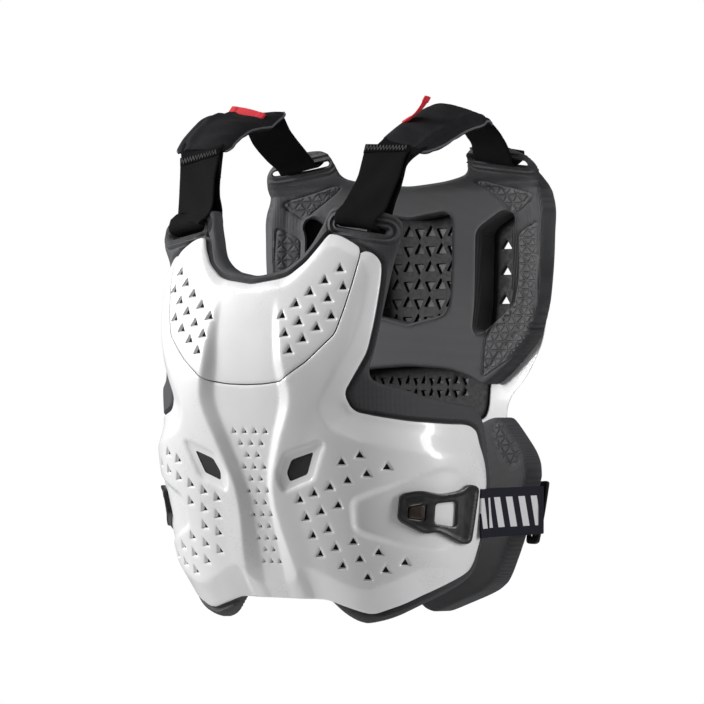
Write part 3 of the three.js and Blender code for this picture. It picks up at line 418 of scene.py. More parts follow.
def front_radius(angle, down):
    """Front shells' outer face: the chest's section with bevel, trough, ridges and bays."""
    angle, down = np.asarray(angle, float), np.asarray(down, float)
    flat = np.stack([np.radians(np.abs(angle)) * PATTERN_RADIUS, -down * FRONT_HEIGHT], 1)
    width = CHEST_HALF_WIDTH * section_value(CHEST_SECTIONS, 2, down)
    depth = CHEST_DEPTH * section_value(CHEST_SECTIONS, 1, down)
    base = section_radius(angle, width, depth, CHEST_SQUARENESS)
    drop = BEVEL_SLOPE * soft_ramp(signed_distance(flat, PLATEAU_FLAT), 1.4)
    limit = BEVEL_LIMIT * section_value(CHEST_SECTIONS, 3, down)
    drop = limit - soft_ramp(limit - drop, 1.5)
    floor = TROUGH_HALF_WIDTH * section_value(TROUGH_SECTIONS, 1, down)
    ridge = TROUGH_HALF_WIDTH * section_value(TROUGH_SECTIONS, 2, down)
    share = section_value(TROUGH_SECTIONS, 3, down)
    climb = (TROUGH_DEPTH + RIDGE_HEIGHT) / (ridge - floor)
    fall = RIDGE_HEIGHT / RIDGE_FADE
    sideways = flat[:, 0]
    relief = (-TROUGH_DEPTH + climb * soft_ramp(sideways - floor, 1.2)
              - (climb + fall) * soft_ramp(sideways - ridge, 1.4)
              + fall * soft_ramp(sideways - ridge - RIDGE_FADE, 6))
    within = soft_ramp(-signed_distance(flat, BAY_FLAT), 1.2)
    fade = np.clip(1 - (flat[:, 0] - BAY_FLAT[:, 0].min()) / np.ptp(BAY_FLAT[:, 0]), 0.02, 1)
    sunk = BAY_DEPTH * fade
    bay = sunk - soft_ramp(sunk - within, 1.2)
    return base + relief * share - drop - bay


def back_radius(angle, down):
    """Back liner's inner face."""
    width = BACK_HALF_WIDTH * section_value(BACK_SECTIONS, 2, down)
    depth = BACK_DEPTH * section_value(BACK_SECTIONS, 1, down)
    return section_radius(angle, width, depth, BACK_SQUARENESS)


FRONT = Sheet(-1, FRONT_TOP, FRONT_HEIGHT, front_radius)
BACK = Sheet(1, BACK_TOP, BACK_HEIGHT, back_radius)
PLATEAU_FLAT = rounded(FRONT.flat(whole(PLATEAU)), 6, 8)
BAY_FLAT = rounded(FRONT.flat(BUCKLE_BAY), 5, 6)


def make_object(name, points, faces, uv=None, masks=None, smooth_angle=40):
    """Mesh object from points in millimetres, with flat coordinates in centimetres."""
    mesh = bpy.data.meshes.new(name)
    mesh.from_pydata((np.asarray(points) * MM).tolist(), [], [list(map(int, f)) for f in faces])
    mesh.update()
    if uv is not None:
        layer = mesh.uv_layers.new(name="flat")
        index = np.empty(len(mesh.loops), int)
        mesh.loops.foreach_get("vertex_index", index)
        layer.data.foreach_set("uv", (np.asarray(uv)[index] * 0.1).ravel())
    for key, values in (masks or {}).items():
        attribute = mesh.attributes.new(key, "FLOAT", "POINT")
        attribute.data.foreach_set("value", np.asarray(values, float))
    mesh.shade_smooth()
    mesh.set_sharp_from_angle(angle=math.radians(smooth_angle))
    thing = bpy.data.objects.new(name, mesh)
    bpy.context.scene.collection.objects.link(thing)
    return thing


def line_distance(points, line):
    """Distance from flat points to an open line."""
    there_and_back = np.concatenate([line, line[::-1]])
    return edge_distance(points, [there_and_back])


def filling(loops, spacing, rings):
    """Points inside the loops: an even grid, and rings that follow the edges."""
    outline = np.asarray(loops[0])
    low, high = outline.min(0), outline.max(0)
    rows = np.arange(low[1], high[1], spacing * 0.866)
    grid = [(x + (i % 2) * spacing / 2, y) for i, y in enumerate(rows)
            for x in np.arange(low[0], high[0], spacing)]
    grid = np.array(grid)
    grid = grid[inside(grid, loops)]
    widest = max(rings) if rings else 0
    grid = grid[edge_distance(grid, loops) > widest + spacing * 0.5]
    parts = [grid]
    for ring in rings:
        offset = []
        for loop in loops:
            loop = np.asarray(loop)
            along = np.roll(loop, -1, axis=0) - np.roll(loop, 1, axis=0)
            along /= np.maximum(np.linalg.norm(along, axis=1, keepdims=True), 1e-9)
            normal = np.stack([-along[:, 1], along[:, 0]], 1)
            offset.extend([loop + normal * ring, loop - normal * ring])
        offset = np.concatenate(offset)
        offset = offset[inside(offset, loops)]
        offset = offset[edge_distance(offset, loops) > ring * 0.9]
        parts.append(offset)
    return np.concatenate(parts)


def round_edge(distance, radius):
    """How far a rounded edge falls away, from its full radius at the edge itself."""
    reach = radius - np.minimum(distance, radius)
    return radius - np.sqrt(np.maximum(radius * radius - reach * reach, 0))


def plate(name, sheet, loops, near, far, spacing, rings, taper=1.0, masks=None, lines=()):
    """Solid plate of a sheet between two depths, given as functions of the flat place and
    of the distance to the nearest edge. Loops after the first are holes; a taper below 1
    narrows them towards the far face. Lines are extra loops that the mesh follows."""
    fill = filling(loops, spacing, rings)
    for line in lines:
        fill = fill[line_distance(fill, line) > spacing * 0.35]
    corners = [np.asarray(loop) for loop in loops]
    flat, triangles = triangulate_with_lines(corners, lines, fill)
    distance = edge_distance(flat, loops)
    flat_far = flat.copy()
    if taper < 1:
        for hole in loops[1:]:
            hole = np.asarray(hole)
            middle = hole.mean(0)
            size = np.linalg.norm(hole - middle, axis=1).max()
            close = (np.linalg.norm(flat - middle, axis=1) < size + 0.2) & (distance < 1e-3)
            flat_far[close] = middle + (flat[close] - middle) * taper
    top = sheet.place(flat, near(flat, distance))
    bottom = sheet.place(flat_far, far(flat, distance))
    count = len(flat)
    directed = np.concatenate([triangles[:, [0, 1]], triangles[:, [1, 2]], triangles[:, [2, 0]]])
    present = {(a, b) for a, b in directed.tolist()}
    rim = [(a, b) for a, b in directed.tolist() if (b, a) not in present]
    faces = triangles.tolist() + [(c + count, b + count, a + count) for a, b, c in triangles.tolist()]
    faces += [(b, a, a + count, b + count) for a, b in rim]
    made_masks = {key: np.concatenate([values(flat, distance)] * 2)
                  for key, values in (masks or {}).items()}
    return make_object(name, np.concatenate([top, bottom]), faces, np.concatenate([flat, flat]),
                       made_masks)


def triangulate_with_lines(loops, lines, points):
    """Triangles inside the loops that follow the lines and use the points."""
    corners, edges = [], []
    for loop in loops:
        start = len(corners)
        corners.extend(Vector(point) for point in loop)
        edges.extend((start + i, start + (i + 1) % len(loop)) for i in range(len(loop)))
    for line in lines:
        line = line[inside(line, loops)] if len(line) else line
        start = len(corners)
        corners.extend(Vector(point) for point in line)
        reach = np.linalg.norm(np.diff(line, axis=0), axis=1)
        edges.extend((start + i, start + i + 1) for i in range(len(line) - 1) if reach[i] < 6)
    corners.extend(Vector(point) for point in points)
    made = delaunay_2d_cdt(corners, edges, [], 0, 1e-5)
    flat = np.array([(point.x, point.y) for point in made[0]])
    triangles = np.array([face for face in made[2] if len(face) == 3])
    middle = flat[triangles].mean(1)
    return flat, triangles[inside(middle, loops)]


def triangle_hole(middle, width, corner=0.7, flip=False, spacing=1.6):
    """Small triangular hole with its point up, or down if flipped."""
    reach = width / math.sqrt(3)
    turn = [90, 210, 330] if not flip else [270, 30, 150]
    loop = [(middle[0] + reach * math.cos(math.radians(t)), middle[1] + reach * math.sin(math.radians(t)))
            for t in turn]
    return rounded(loop, corner, spacing)


def closed_line(loop):
    """Loop as an open line that comes back to its first point."""
    return np.concatenate([loop, loop[:1]])


def vent_holes(sheet, rows, width):
    """Triangular vents on both sides, from rows that step evenly."""
    holes = []
    for angle, down, angle_step, down_step, count in rows:
        for i in range(count):
            place = (angle + i * angle_step, down + i * down_step)
            for side in (1, -1):
                middle = sheet.flat([(side * place[0], place[1])])[0]
                holes.append(triangle_hole(middle, width))
    return holes


def slot_loop(sheet, slot, side):
    """Slot with round ends on a lug, in flat coordinates."""
    angle, down, roll = slot
    middle = sheet.flat([(side * angle, down)])[0]
    half = SLOT_LENGTH / 2 - SLOT_HEIGHT / 2 + 1
    radius = (SLOT_HEIGHT - SLOT_FILLED) / 2
    points = []
    for end in (1, -1):
        for k in range(9):
            t = math.radians(-90 + 22.5 * k) + (0 if end > 0 else math.pi)
            points.append((end * half + radius * math.cos(t), radius * math.sin(t)))
    turn = math.radians(-side * roll)
    points = np.array(points)
    spin = np.array([[math.cos(turn), math.sin(turn)], [-math.sin(turn), math.cos(turn)]])
    points[:, 1] += SLOT_FILLED / 2
    return rounded(points @ spin + middle, 0.1, 2.0)


# Shader graphs
class Graph:
    """Small helper that wires a material's nodes."""

    def __init__(self, name, colour, roughness, **inputs):
        self.material = bpy.data.materials.new(name)
        self.material.use_nodes = True
        self.nodes = self.material.node_tree.nodes
        self.links = self.material.node_tree.links
        self.shader = self.nodes["Principled BSDF"]
        self.shader.inputs["Base Color"].default_value = (*colour, 1)
        self.shader.inputs["Roughness"].default_value = roughness
        for key, value in inputs.items():
            self.shader.inputs[key.replace("_", " ")].default_value = value

    def put(self, socket, value):
        if isinstance(value, (int, float)):
            socket.default_value = value
        elif isinstance(value, tuple):
            needs_alpha = len(value) == 3 and len(socket.default_value) == 4
            socket.default_value = (*value, 1) if needs_alpha else value
        else:
            self.links.new(value, socket)

    def node(self, kind, **inputs):
        made = self.nodes.new(kind)
        for key, value in inputs.items():
            self.put(made.inputs[key.replace("_", " ")], value)
        return made

    def math(self, operation, a, b=0.0, c=0.0):
        made = self.nodes.new("ShaderNodeMath")
        made.operation = operation
        for i, value in enumerate((a, b, c)):
            self.put(made.inputs[i], value)
        return made.outputs[0]

    def flat(self):
        made = self.nodes.new("ShaderNodeUVMap")
        made.uv_map = "flat"
        parts = self.node("ShaderNodeSeparateXYZ", Vector=made.outputs[0])
        return parts.outputs[0], parts.outputs[1]

    def place(self):
        return self.nodes.new("ShaderNodeTexCoord").outputs["Object"]

    def noise(self, vector, scale, detail=3.0, rough=0.55):
        made = self.node("ShaderNodeTexNoise", Vector=vector, Scale=scale, Detail=detail, Roughness=rough)
        return made.outputs[0]

    def attribute(self, name):
        made = self.nodes.new("ShaderNodeAttribute")
        made.attribute_name = name
        return made.outputs["Fac"]

    def spread(self, value, low, high, to_low, to_high):
        made = self.node("ShaderNodeMapRange")
        for i, part in enumerate((value, low, high, to_low, to_high)):
            self.put(made.inputs[i], part)
        return made.outputs[0]

    def mix_colour(self, factor, a, b):
        made = self.nodes.new("ShaderNodeMix")
        made.data_type = "RGBA"
        self.put(made.inputs[0], factor)
        self.put(made.inputs[6], a)
        self.put(made.inputs[7], b)
        return made.outputs[2]

    def wave(self, value, pitch):
        """Sine of a length in centimetres with a pitch in millimetres."""
        return self.math("SINE", self.math("MULTIPLY", value, 2 * math.pi * 10 / pitch))

    def bump(self, height, distance, strength=1.0, before=None):
        made = self.node("ShaderNodeBump", Height=height, Distance=distance, Strength=strength)
        if before is not None:
            self.links.new(before, made.inputs["Normal"])
        return made.outputs[0]

    def finish(self, colour=None, roughness=None, normal=None):
        if colour is not None:
            self.links.new(colour, self.shader.inputs["Base Color"])
        if roughness is not None:
            self.links.new(roughness, self.shader.inputs["Roughness"])
        if normal is not None:
            self.links.new(normal, self.shader.inputs["Normal"])
        return self.material


def shell_material():
    """Glossy white moulded plastic, faintly rippled and mottled, with painted near-black shade where it
    lies behind the lattice.
    """
    g = Graph("white_shell", (0.66, 0.665, 0.67), 0.3, Specular_IOR_Level=0.5, Coat_Weight=0.4,
              Coat_Roughness=0.07)
    place = g.place()
    cloud = g.noise(place, 14, 4)
    fine = g.noise(place, 420, 2)
    colour = g.mix_colour(g.spread(cloud, 0.35, 0.65, 0, 1), (0.73, 0.733, 0.738), (0.77, 0.773, 0.777))
    # Painted shade: near-black where the shell's inner face lies behind the lattice, seen through its
    # holes.
    colour = g.mix_colour(g.attribute("shade_behind_lattice"), colour, (0.006, 0.006, 0.006))
    rough = g.spread(g.math("ADD", g.math("MULTIPLY", cloud, 0.7), g.math("MULTIPLY", fine, 0.3)),
                     0.3, 0.7, 0.24, 0.38)
    normal = g.bump(fine, 0.00002, 0.5)
    normal = g.bump(g.noise(place, 40, 2), 0.0002, 0.35, normal)
    return g.finish(colour, rough, normal)


def triangle_grooves(g, u, v, pitch, width):
    """One inside the thin grooves of a triangular pattern, nought elsewhere."""
    rows = []
    for turn in (0, 60, 120):
        across = g.math("ADD", g.math("MULTIPLY", u, math.sin(math.radians(turn))),
                        g.math("MULTIPLY", v, math.cos(math.radians(turn))))
        share = g.math("FRACT", g.math("MULTIPLY", across, 10 / (pitch * math.sqrt(3) / 2)))
        rows.append(g.math("ABSOLUTE", g.math("SUBTRACT", share, 0.5)))
    far = g.math("MAXIMUM", g.math("MAXIMUM", rows[0], rows[1]), rows[2])
    half = 0.5 - width / (pitch * math.sqrt(3) / 2)
    return g.spread(far, half - 0.03, half + 0.03, 0, 1)


def liner_material():
    """Charcoal moulded foam with a knurled skin and grooved pads, with painted shade in the grooves and
    in the knurl's pits.
    """
    g = Graph("liner", (0.052, 0.053, 0.056), 0.62, Specular_IOR_Level=0.4)
    u, v = g.flat()
    slant = g.math("ADD", u, v)
    other = g.math("SUBTRACT", u, v)
    knurl = g.math("MULTIPLY", g.wave(slant, 2.3), g.wave(other, 2.3))
    skin = g.attribute("knurl")
    cloud = g.noise(g.place(), 9, 4)
    groove = g.math("MULTIPLY", triangle_grooves(g, u, v, 10.5, 1.0), g.attribute("pad"))
    colour = g.mix_colour(g.spread(cloud, 0.3, 0.7, 0, 1), (0.042, 0.043, 0.046), (0.062, 0.063, 0.067))
    # Painted shade: the pads' grooves darkened to near black.
    colour = g.mix_colour(g.math("MULTIPLY", groove, 0.72), colour, (0.008, 0.008, 0.009))
    # Painted shade: the knurl's pits darkened, where its bump is lowest.
    knurl_pit_shade = g.math("MULTIPLY", g.spread(knurl, -0.9, 0.1, 1, 0), skin)
    colour = g.mix_colour(g.math("MULTIPLY", knurl_pit_shade, 0.6), colour, (0.012, 0.012, 0.013))
    colour = g.mix_colour(g.attribute("shade"), colour, (0.003, 0.003, 0.003))
    normal = g.bump(g.math("MULTIPLY", knurl, skin), 0.00025, 0.7)
    normal = g.bump(g.math("SUBTRACT", 1.0, groove), 0.0009, 1.0, normal)
    normal = g.bump(g.noise(g.place(), 300, 3), 0.00015, 0.5, normal)
    rough = g.spread(cloud, 0.3, 0.7, 0.55, 0.7)
    return g.finish(colour, rough, normal)


def lattice_material():
    g = Graph("lattice", (0.008, 0.008, 0.009), 0.6, Specular_IOR_Level=0.25)
    fine = g.noise(g.place(), 260, 3)
    return g.finish(g.mix_colour(fine, (0.006, 0.006, 0.007), (0.014, 0.014, 0.015)),
                    g.spread(fine, 0.3, 0.7, 0.5, 0.7), g.bump(fine, 0.0002, 0.5))


def webbing_material(name="webbing", dark=(0.003, 0.003, 0.0035), light=(0.01, 0.01, 0.011), bars=False):
    """Elastic webbing: a rib along the strap crossed by fine weft."""
    g = Graph(name, dark, 0.85, Specular_IOR_Level=0.06)
    u, v = g.flat()
    warp = g.wave(u, 1.3)
    weft = g.wave(g.math("ADD", v, g.math("MULTIPLY", g.wave(u, 2.6), 0.012)), 0.9)
    weave = g.math("MULTIPLY", g.math("ADD", g.math("MULTIPLY", warp, weft), 1), 0.5)
    fuzz = g.noise(g.place(), 500, 3)
    tone = g.math("ADD", g.math("MULTIPLY", weave, 0.6), g.math("MULTIPLY", fuzz, 0.4))
    colour = g.mix_colour(tone, dark, light)
    if bars:
        slanted = g.math("ADD", v, g.math("MULTIPLY", u, 0.28))
        share = g.math("FRACT", g.math("MULTIPLY", slanted, 10 / 22.0))
        inside_bar = g.math("MULTIPLY", g.math("LESS_THAN", share, 0.52),
                            g.math("LESS_THAN", g.math("ABSOLUTE", u), 1.55))
        inside_bar = g.math("MULTIPLY", inside_bar, g.attribute("barred"))
        colour = g.mix_colour(inside_bar, colour, (0.62, 0.62, 0.64))
    normal = g.bump(weave, 0.00022, 0.8)
    normal = g.bump(fuzz, 0.0002, 0.4, normal)
    return g.finish(colour, None, normal)


def sleeve_material():
    g = Graph("sleeve", (0.008, 0.008, 0.009), 0.9, Specular_IOR_Level=0.12)
    place = g.place()
    cells = g.node("ShaderNodeTexVoronoi", Vector=place, Scale=1100.0).outputs["Distance"]
    fuzz = g.noise(place, 700, 2)
    cloud = g.noise(place, 18, 3)
    colour = g.mix_colour(g.math("MULTIPLY", g.math("ADD", cells, cloud), 0.6),
                          (0.006, 0.006, 0.007), (0.02, 0.02, 0.022))
    normal = g.bump(cells, 0.0002, 0.7)
    normal = g.bump(cloud, 0.002, 0.35, normal)
    normal = g.bump(fuzz, 0.0001, 0.5, normal)
    return g.finish(colour, None, normal)


def plain_material(name, low, high, rough_low, rough_high, scale=200, bump=0.0001, **inputs):
    g = Graph(name, low, rough_low, **inputs)
    fine = g.noise(g.place(), scale, 3)
    return g.finish(g.mix_colour(fine, low, high), g.spread(fine, 0.3, 0.7, rough_low, rough_high),
                    g.bump(fine, bump, 0.5))


SHELL_LOOK = shell_material()
LINER_LOOK = liner_material()
LATTICE_LOOK = lattice_material()
WEBBING_LOOK = webbing_material()
SIDE_LOOK = webbing_material("side_webbing", (0.012, 0.012, 0.018), (0.026, 0.026, 0.036), True)
SLEEVE_LOOK = sleeve_material()
TAB_LOOK = plain_material("tab", (0.5, 0.012, 0.02), (0.75, 0.03, 0.05), 0.7, 0.85, 600, 0.0002)
BUCKLE_LOOK = plain_material("buckle", (0.008, 0.008, 0.009), (0.018, 0.018, 0.02), 0.3, 0.45, 150)
STUD_LOOK = plain_material("stud", (0.035, 0.025, 0.02), (0.07, 0.05, 0.04), 0.3, 0.45, 150, Metallic=0.6)
PIPING_LOOK = plain_material("piping", (0.05, 0.05, 0.055), (0.11, 0.11, 0.12), 0.7, 0.85, 500)
THREAD_LOOK = plain_material("thread", (0.03, 0.03, 0.033), (0.07, 0.07, 0.075), 0.7, 0.85, 500)


def dress(thing, look, slot, *nodes):
    """Give a thing its look and its body, and hide the nodes that it stands for. The slot is not used."""
    thing.data.materials.append(look)
    if nodes:
        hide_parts(*nodes)
    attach(thing, "root")


def flat_loop(sheet, half, radius):
    """Whole rounded outline of a half outline, in flat coordinates."""
    return rounded(sheet.flat(whole(half)), radius)


def trough_line(column, side):
    """Crease of the central trough, down one side of it."""
    down = np.linspace(0.28, 1.0, 110)
    return np.stack([side * TROUGH_HALF_WIDTH * section_value(TROUGH_SECTIONS, column, down),
                     -down * FRONT_HEIGHT], 1)


# Front plates
SPACING = 2.6
FLAT_MIRROR = np.array([-1, 1])
BAY_FLOOR_STEP = 5
creases = [closed_line(PLATEAU_FLAT), closed_line(BAY_FLAT), closed_line(BAY_FLAT * FLAT_MIRROR)]
creases += [trough_line(column, side) for column in (1, 2) for side in (1, -1)]
panel_loop = flat_loop(FRONT, CHEST_PANEL, 3)
chest_vents = vent_holes(FRONT, CHEST_VENTS, VENT_WIDTH)


def plate_faces(wall, radius, window_loops=(), window_radius=3.0):
    """Near and far faces of a shell, rounded at its edges and dished round its windows."""
    def near(flat, distance):
        drop = round_edge(distance, radius)
        if window_loops:
            drop = np.maximum(drop, 0.55 * np.maximum(
                window_radius - edge_distance(flat, window_loops), 0))
        return drop

    def far(flat, distance):
        return wall - round_edge(distance, radius * 0.4)
    return near, far


near, far = plate_faces(SHELL_WALL, 1.0)
chest_panel = plate("shell_chest_panel", FRONT, [panel_loop] + chest_vents, near, far, SPACING,
                    (0.3, 1.0), taper=0.62, lines=creases[:1])
dress(chest_panel, SHELL_LOOK, "white_shell", "chest_panel")


def grown(loop, distance):
    """Loop moved outwards by a distance."""
    loop = np.asarray(loop)
    along = np.roll(loop, -1, axis=0) - np.roll(loop, 1, axis=0)
    along /= np.maximum(np.linalg.norm(along, axis=1, keepdims=True), 1e-9)
    normal = np.stack([along[:, 1], -along[:, 0]], 1)
    area = (loop[:, 0] * np.roll(loop[:, 1], -1) - np.roll(loop[:, 0], -1) * loop[:, 1]).sum()
    return loop + normal * distance * (1 if area > 0 else -1)


bay_floor = grown(BAY_FLAT, -BAY_FLOOR_STEP)
creases += [closed_line(bay_floor), closed_line(bay_floor * FLAT_MIRROR)]


def shell_outline():
    """The front shell's outline: its own edge, then back along the seam with the panel."""
    seam = grown(panel_loop, SEAM_GAP)
    outer = rounded(FRONT.flat(whole(FRONT_SHELL)), 4)
    outer = outer[~inside(outer, [seam])]
    first = int(np.argmax(np.linalg.norm(outer - np.roll(outer, 1, axis=0), axis=1)))
    outer = np.roll(outer, -first, axis=0)
    kept = seam[inside(seam, [rounded(FRONT.flat(whole(FRONT_SHELL)), 4)])]
    jump = int(np.argmax(np.linalg.norm(kept - np.roll(kept, 1, axis=0), axis=1)))
    kept = np.roll(kept, -jump, axis=0)
    if np.linalg.norm(kept[0] - outer[-1]) > np.linalg.norm(kept[-1] - outer[-1]):
        kept = kept[::-1]
    return np.concatenate([outer, kept])


shell_loop = shell_outline()
windows = pair(FRONT, DIAMOND_WINDOW, 2.5)
shell_vents = vent_holes(FRONT, SHELL_VENTS, VENT_WIDTH)


COLUMN_WIDTHS = [(-21, -7, 7, 21), (-14, 0, 14), (-7, 7)]
COLUMN_TOP = 331.5
COLUMN_PITCH = 12.1
COLUMN_ROWS = 12
COLUMN_VENT_WIDTH = 6.2


def column_vents():
    """Small vents down the trough, in a staggered column."""
    holes = []
    for row in range(COLUMN_ROWS):
        widest, odd, even = COLUMN_WIDTHS
        places = widest if row == 0 else (odd if row % 2 else even)
        down = (COLUMN_TOP - FRONT_TOP + COLUMN_PITCH * row) / FRONT_HEIGHT
        for x in places:
            middle = np.array([x, -down * FRONT_HEIGHT])
            holes.append(triangle_hole(middle, COLUMN_VENT_WIDTH, 0.4, spacing=1.5))
    return holes


column = column_vents()
near, far = plate_faces(SHELL_WALL, 1.0, windows, 3.5)
front_shell = plate("shell_front", FRONT, [shell_loop] + windows + shell_vents + column, near, far,
                    SPACING, (0.3, 1.0), taper=0.62, lines=creases)
dress(front_shell, SHELL_LOOK, "white_shell", "front_shell")

# Front liner
FAR_AWAY = 1e9


def in_any(flat, loops):
    """Signed distance to the nearest of some loops, below nought inside one."""
    depth = np.full(len(flat), FAR_AWAY)
    for loop in loops:
        depth = np.minimum(depth, signed_distance(flat, loop))
    return depth


def no_shade(flat, distance):
    return np.zeros(len(flat))


def liner_masks(pad_loops, shade=no_shade):
    """Knurled skin outside the pads, grooves inside them, and where it goes dark."""
    return {"knurl": lambda flat, distance: (in_any(flat, pad_loops) > 0) * 1.0,
            "pad": lambda flat, distance: smooth_step(-in_any(flat, pad_loops), 1.0, 2.0),
            "shade": shade}


liner_loop = flat_loop(FRONT, FRONT_LINER, 6)
front_slots = [slot_loop(FRONT, FRONT_SLOT, side) for side in (1, -1)]
liner_stand = SHELL_WALL + SEAT_GAP


PANEL_TOP_END = 9
SHELL_STRIP_START = 4
shell_whole = flat_loop(FRONT, CHEST_PANEL[:PANEL_TOP_END] + FRONT_SHELL[SHELL_STRIP_START:], 4)


def lug_relief(flat, slots):
    """Nested oval beads round the slots of the lugs."""
    distance = edge_distance(flat, slots)
    beads = [(2.2, 1.0, 1.6), (5.6, 0.9, -1.0), (7.6, 1.2, 1.5), (10.6, 0.9, -0.9)]
    return sum(height * np.exp(-((distance - reach) / width) ** 2) for reach, width, height in beads)


def lug_flare(flat):
    """How far the front lugs' outer ends stand out of the curve, to face more to the front."""
    sideways = np.abs(flat[:, 0]) - math.radians(FRONT_SLOT[0]) * PATTERN_RADIUS
    high = 1 - smooth_step(-flat[:, 1] / FRONT_HEIGHT, 0.01, 0.08)
    return high * np.clip(sideways * LUG_FLARE, -2.5, 10)


def front_liner_near(flat, distance):
    shells = signed_distance(flat, shell_whole)
    lift = -1.6 * np.exp(-((shells - 1.5) / 1.4) ** 2) + 2.6 * smooth_step(shells, 2.2, 5.5)
    relief = lift + lug_relief(flat, front_slots) + lug_flare(flat)
    return liner_stand - relief + round_edge(distance, 3.5)


def front_liner_far(flat, distance):
    return liner_stand + FRONT_FOAM - lug_flare(flat) - round_edge(distance, 3.5)


def under_shells(flat, distance):
    """One where the front shells cover the liner, nought elsewhere."""
    return smooth_step(-signed_distance(flat, shell_whole), 0.5, 3)


def lug_lines(slots):
    """Lines for the mesh to follow on the beads round the slots."""
    return [closed_line(grown(slot, reach)) for slot in slots
            for reach in (1.2, 2.2, 3.4, 4.5, 5.6, 6.5, 7.6, 9.0, 10.6, 12)]


front_liner = plate("liner_front", FRONT, [liner_loop] + front_slots, front_liner_near, front_liner_far,
                    SPACING * 1.2, (0.5, 1.5, 2.4, 3.5),
                    lines=lug_lines(front_slots) + [closed_line(grown(shell_whole, reach))
                                                    for reach in (0.4, 1.6, 3.4, 5.5)],
                    masks=liner_masks([], under_shells))
dress(front_liner, LINER_LOOK, "liner", "front_liner")

# Back liner, with its pads
back_liner_loop = flat_loop(BACK, BACK_LINER, 7)
back_slots = [slot_loop(BACK, BACK_SLOT, side) for side in (1, -1)]
back_window = flat_loop(BACK, BACK_WINDOW, 4)
channels = pair(BACK, VENT_CHANNEL, 4)
pads = pair(BACK, UPPER_PAD, 3) + pair(BACK, SIDE_PAD, 3)


def back_foam(flat):
    """Thickness of the back foam, less on the lugs."""
    down = -flat[:, 1] / BACK_HEIGHT
    return LUG_FOAM + (BACK_FOAM - LUG_FOAM) * smooth_step(down, 0.07, 0.11)


def back_liner_near(flat, distance):
    holes = edge_distance(flat, channels)
    rim = 2.2 * np.exp(-((holes - 3.2) / 1.5) ** 2)
    window_rim = 1.4 * np.exp(-((edge_distance(flat, [back_window]) - 2.8) / 1.5) ** 2)
    down = -flat[:, 1] / BACK_HEIGHT
    outer = edge_distance(flat, [back_liner_loop])
    border = 1.5 * np.exp(-((outer - 11.5) / 1.6) ** 2) * smooth_step(down, 0.09, 0.12)
    border *= smooth_step(np.abs(flat[:, 0]), 120, 130)
    ribs = 1.2 * np.exp(-((down - 0.0805) / 0.004) ** 2) + 1.0 * np.exp(-((down - 0.097) / 0.0035) ** 2)
    ribs *= smooth_step(np.abs(flat[:, 0]), 112, 122)
    pad = in_any(flat, pads)
    groove = 1.8 * np.exp(-(pad / 1.1) ** 2)
    return (round_edge(distance, 4) - rim - window_rim - lug_relief(flat, back_slots) + groove + border
            + ribs)


def back_liner_far(flat, distance):
    return back_foam(flat) - round_edge(distance, 3)


back_liner = plate("liner_back", BACK, [back_liner_loop, back_window] + channels + back_slots,
                   back_liner_near, back_liner_far, SPACING, (0.6, 1.8, 3.2, 4.6),
                   lines=[closed_line(grown(pad, reach)) for pad in pads for reach in (-1.2, 0, 1.2)]
                   + lug_lines(back_slots),
                   masks=liner_masks(pads))
dress(back_liner, LINER_LOOK, "liner", "back_liner")

# Waist liner
waist_loop = flat_loop(BACK, WAIST_LINER, 7)
waist_pads = pair(BACK, WAIST_PAD, 3)
lattice_stand = BACK_FOAM + SEAT_GAP
back_shell_stand = lattice_stand + LATTICE_WALL + SEAT_GAP


def waist_near(flat, distance):
    groove = 1.3 * np.exp(-(in_any(flat, waist_pads) / 1.0) ** 2)
    return round_edge(distance, 4) + groove


def waist_far(flat, distance):
    return back_shell_stand - SEAT_GAP - round_edge(distance, 3)


waist_liner = plate("liner_waist", BACK, [waist_loop], waist_near, waist_far, SPACING * 1.3,
                    (0.6, 1.8, 4.0), lines=[closed_line(pad) for pad in waist_pads],
                    masks=liner_masks(waist_pads))
dress(waist_liner, LINER_LOOK, "liner", "waist_liner")

# Perforated sheet behind the back liner. Its holes point up and down by turns, larger ones
# behind the window and smaller ones in a band below. Steps are those on the sheet itself,
# whose radius there turns them into steps of the flat pattern.
lattice_loop = flat_loop(BACK, BACK_LATTICE, 6)
WINDOW_ROWS = 6
WINDOW_SIDE_HOLES = 4
WINDOW_STEP = 14.0
WINDOW_RADIUS = 128
WINDOW_TOP = 0.163
WINDOW_FIRST_ROW = 10
WINDOW_ROW_PITCH = 19
WINDOW_HOLE_WIDTH = 13.5
WINDOW_HOLE_STRETCH = 1.25
WINDOW_MARGIN = 14
BAND_ROWS = 2
BAND_SIDE_HOLES = 6
BAND_STEP = 12.5
BAND_RADIUS = 150
BAND_TOP = 0.505
BAND_ROW_PITCH = 13
BAND_HOLE_WIDTH = 9.5
CHANNEL_VENTS = [0.217, 0.272, 0.334]
CHANNEL_VENT_ANGLE = 43.6
BACK_VENT_WIDTH = 11


def channel_holes():
    """Vents through the back's sheets behind the liner's channels."""
    return [triangle_hole(BACK.flat([(side * CHANNEL_VENT_ANGLE, down)])[0], BACK_VENT_WIDTH, 0.5)
            for down in CHANNEL_VENTS for side in (1, -1)]


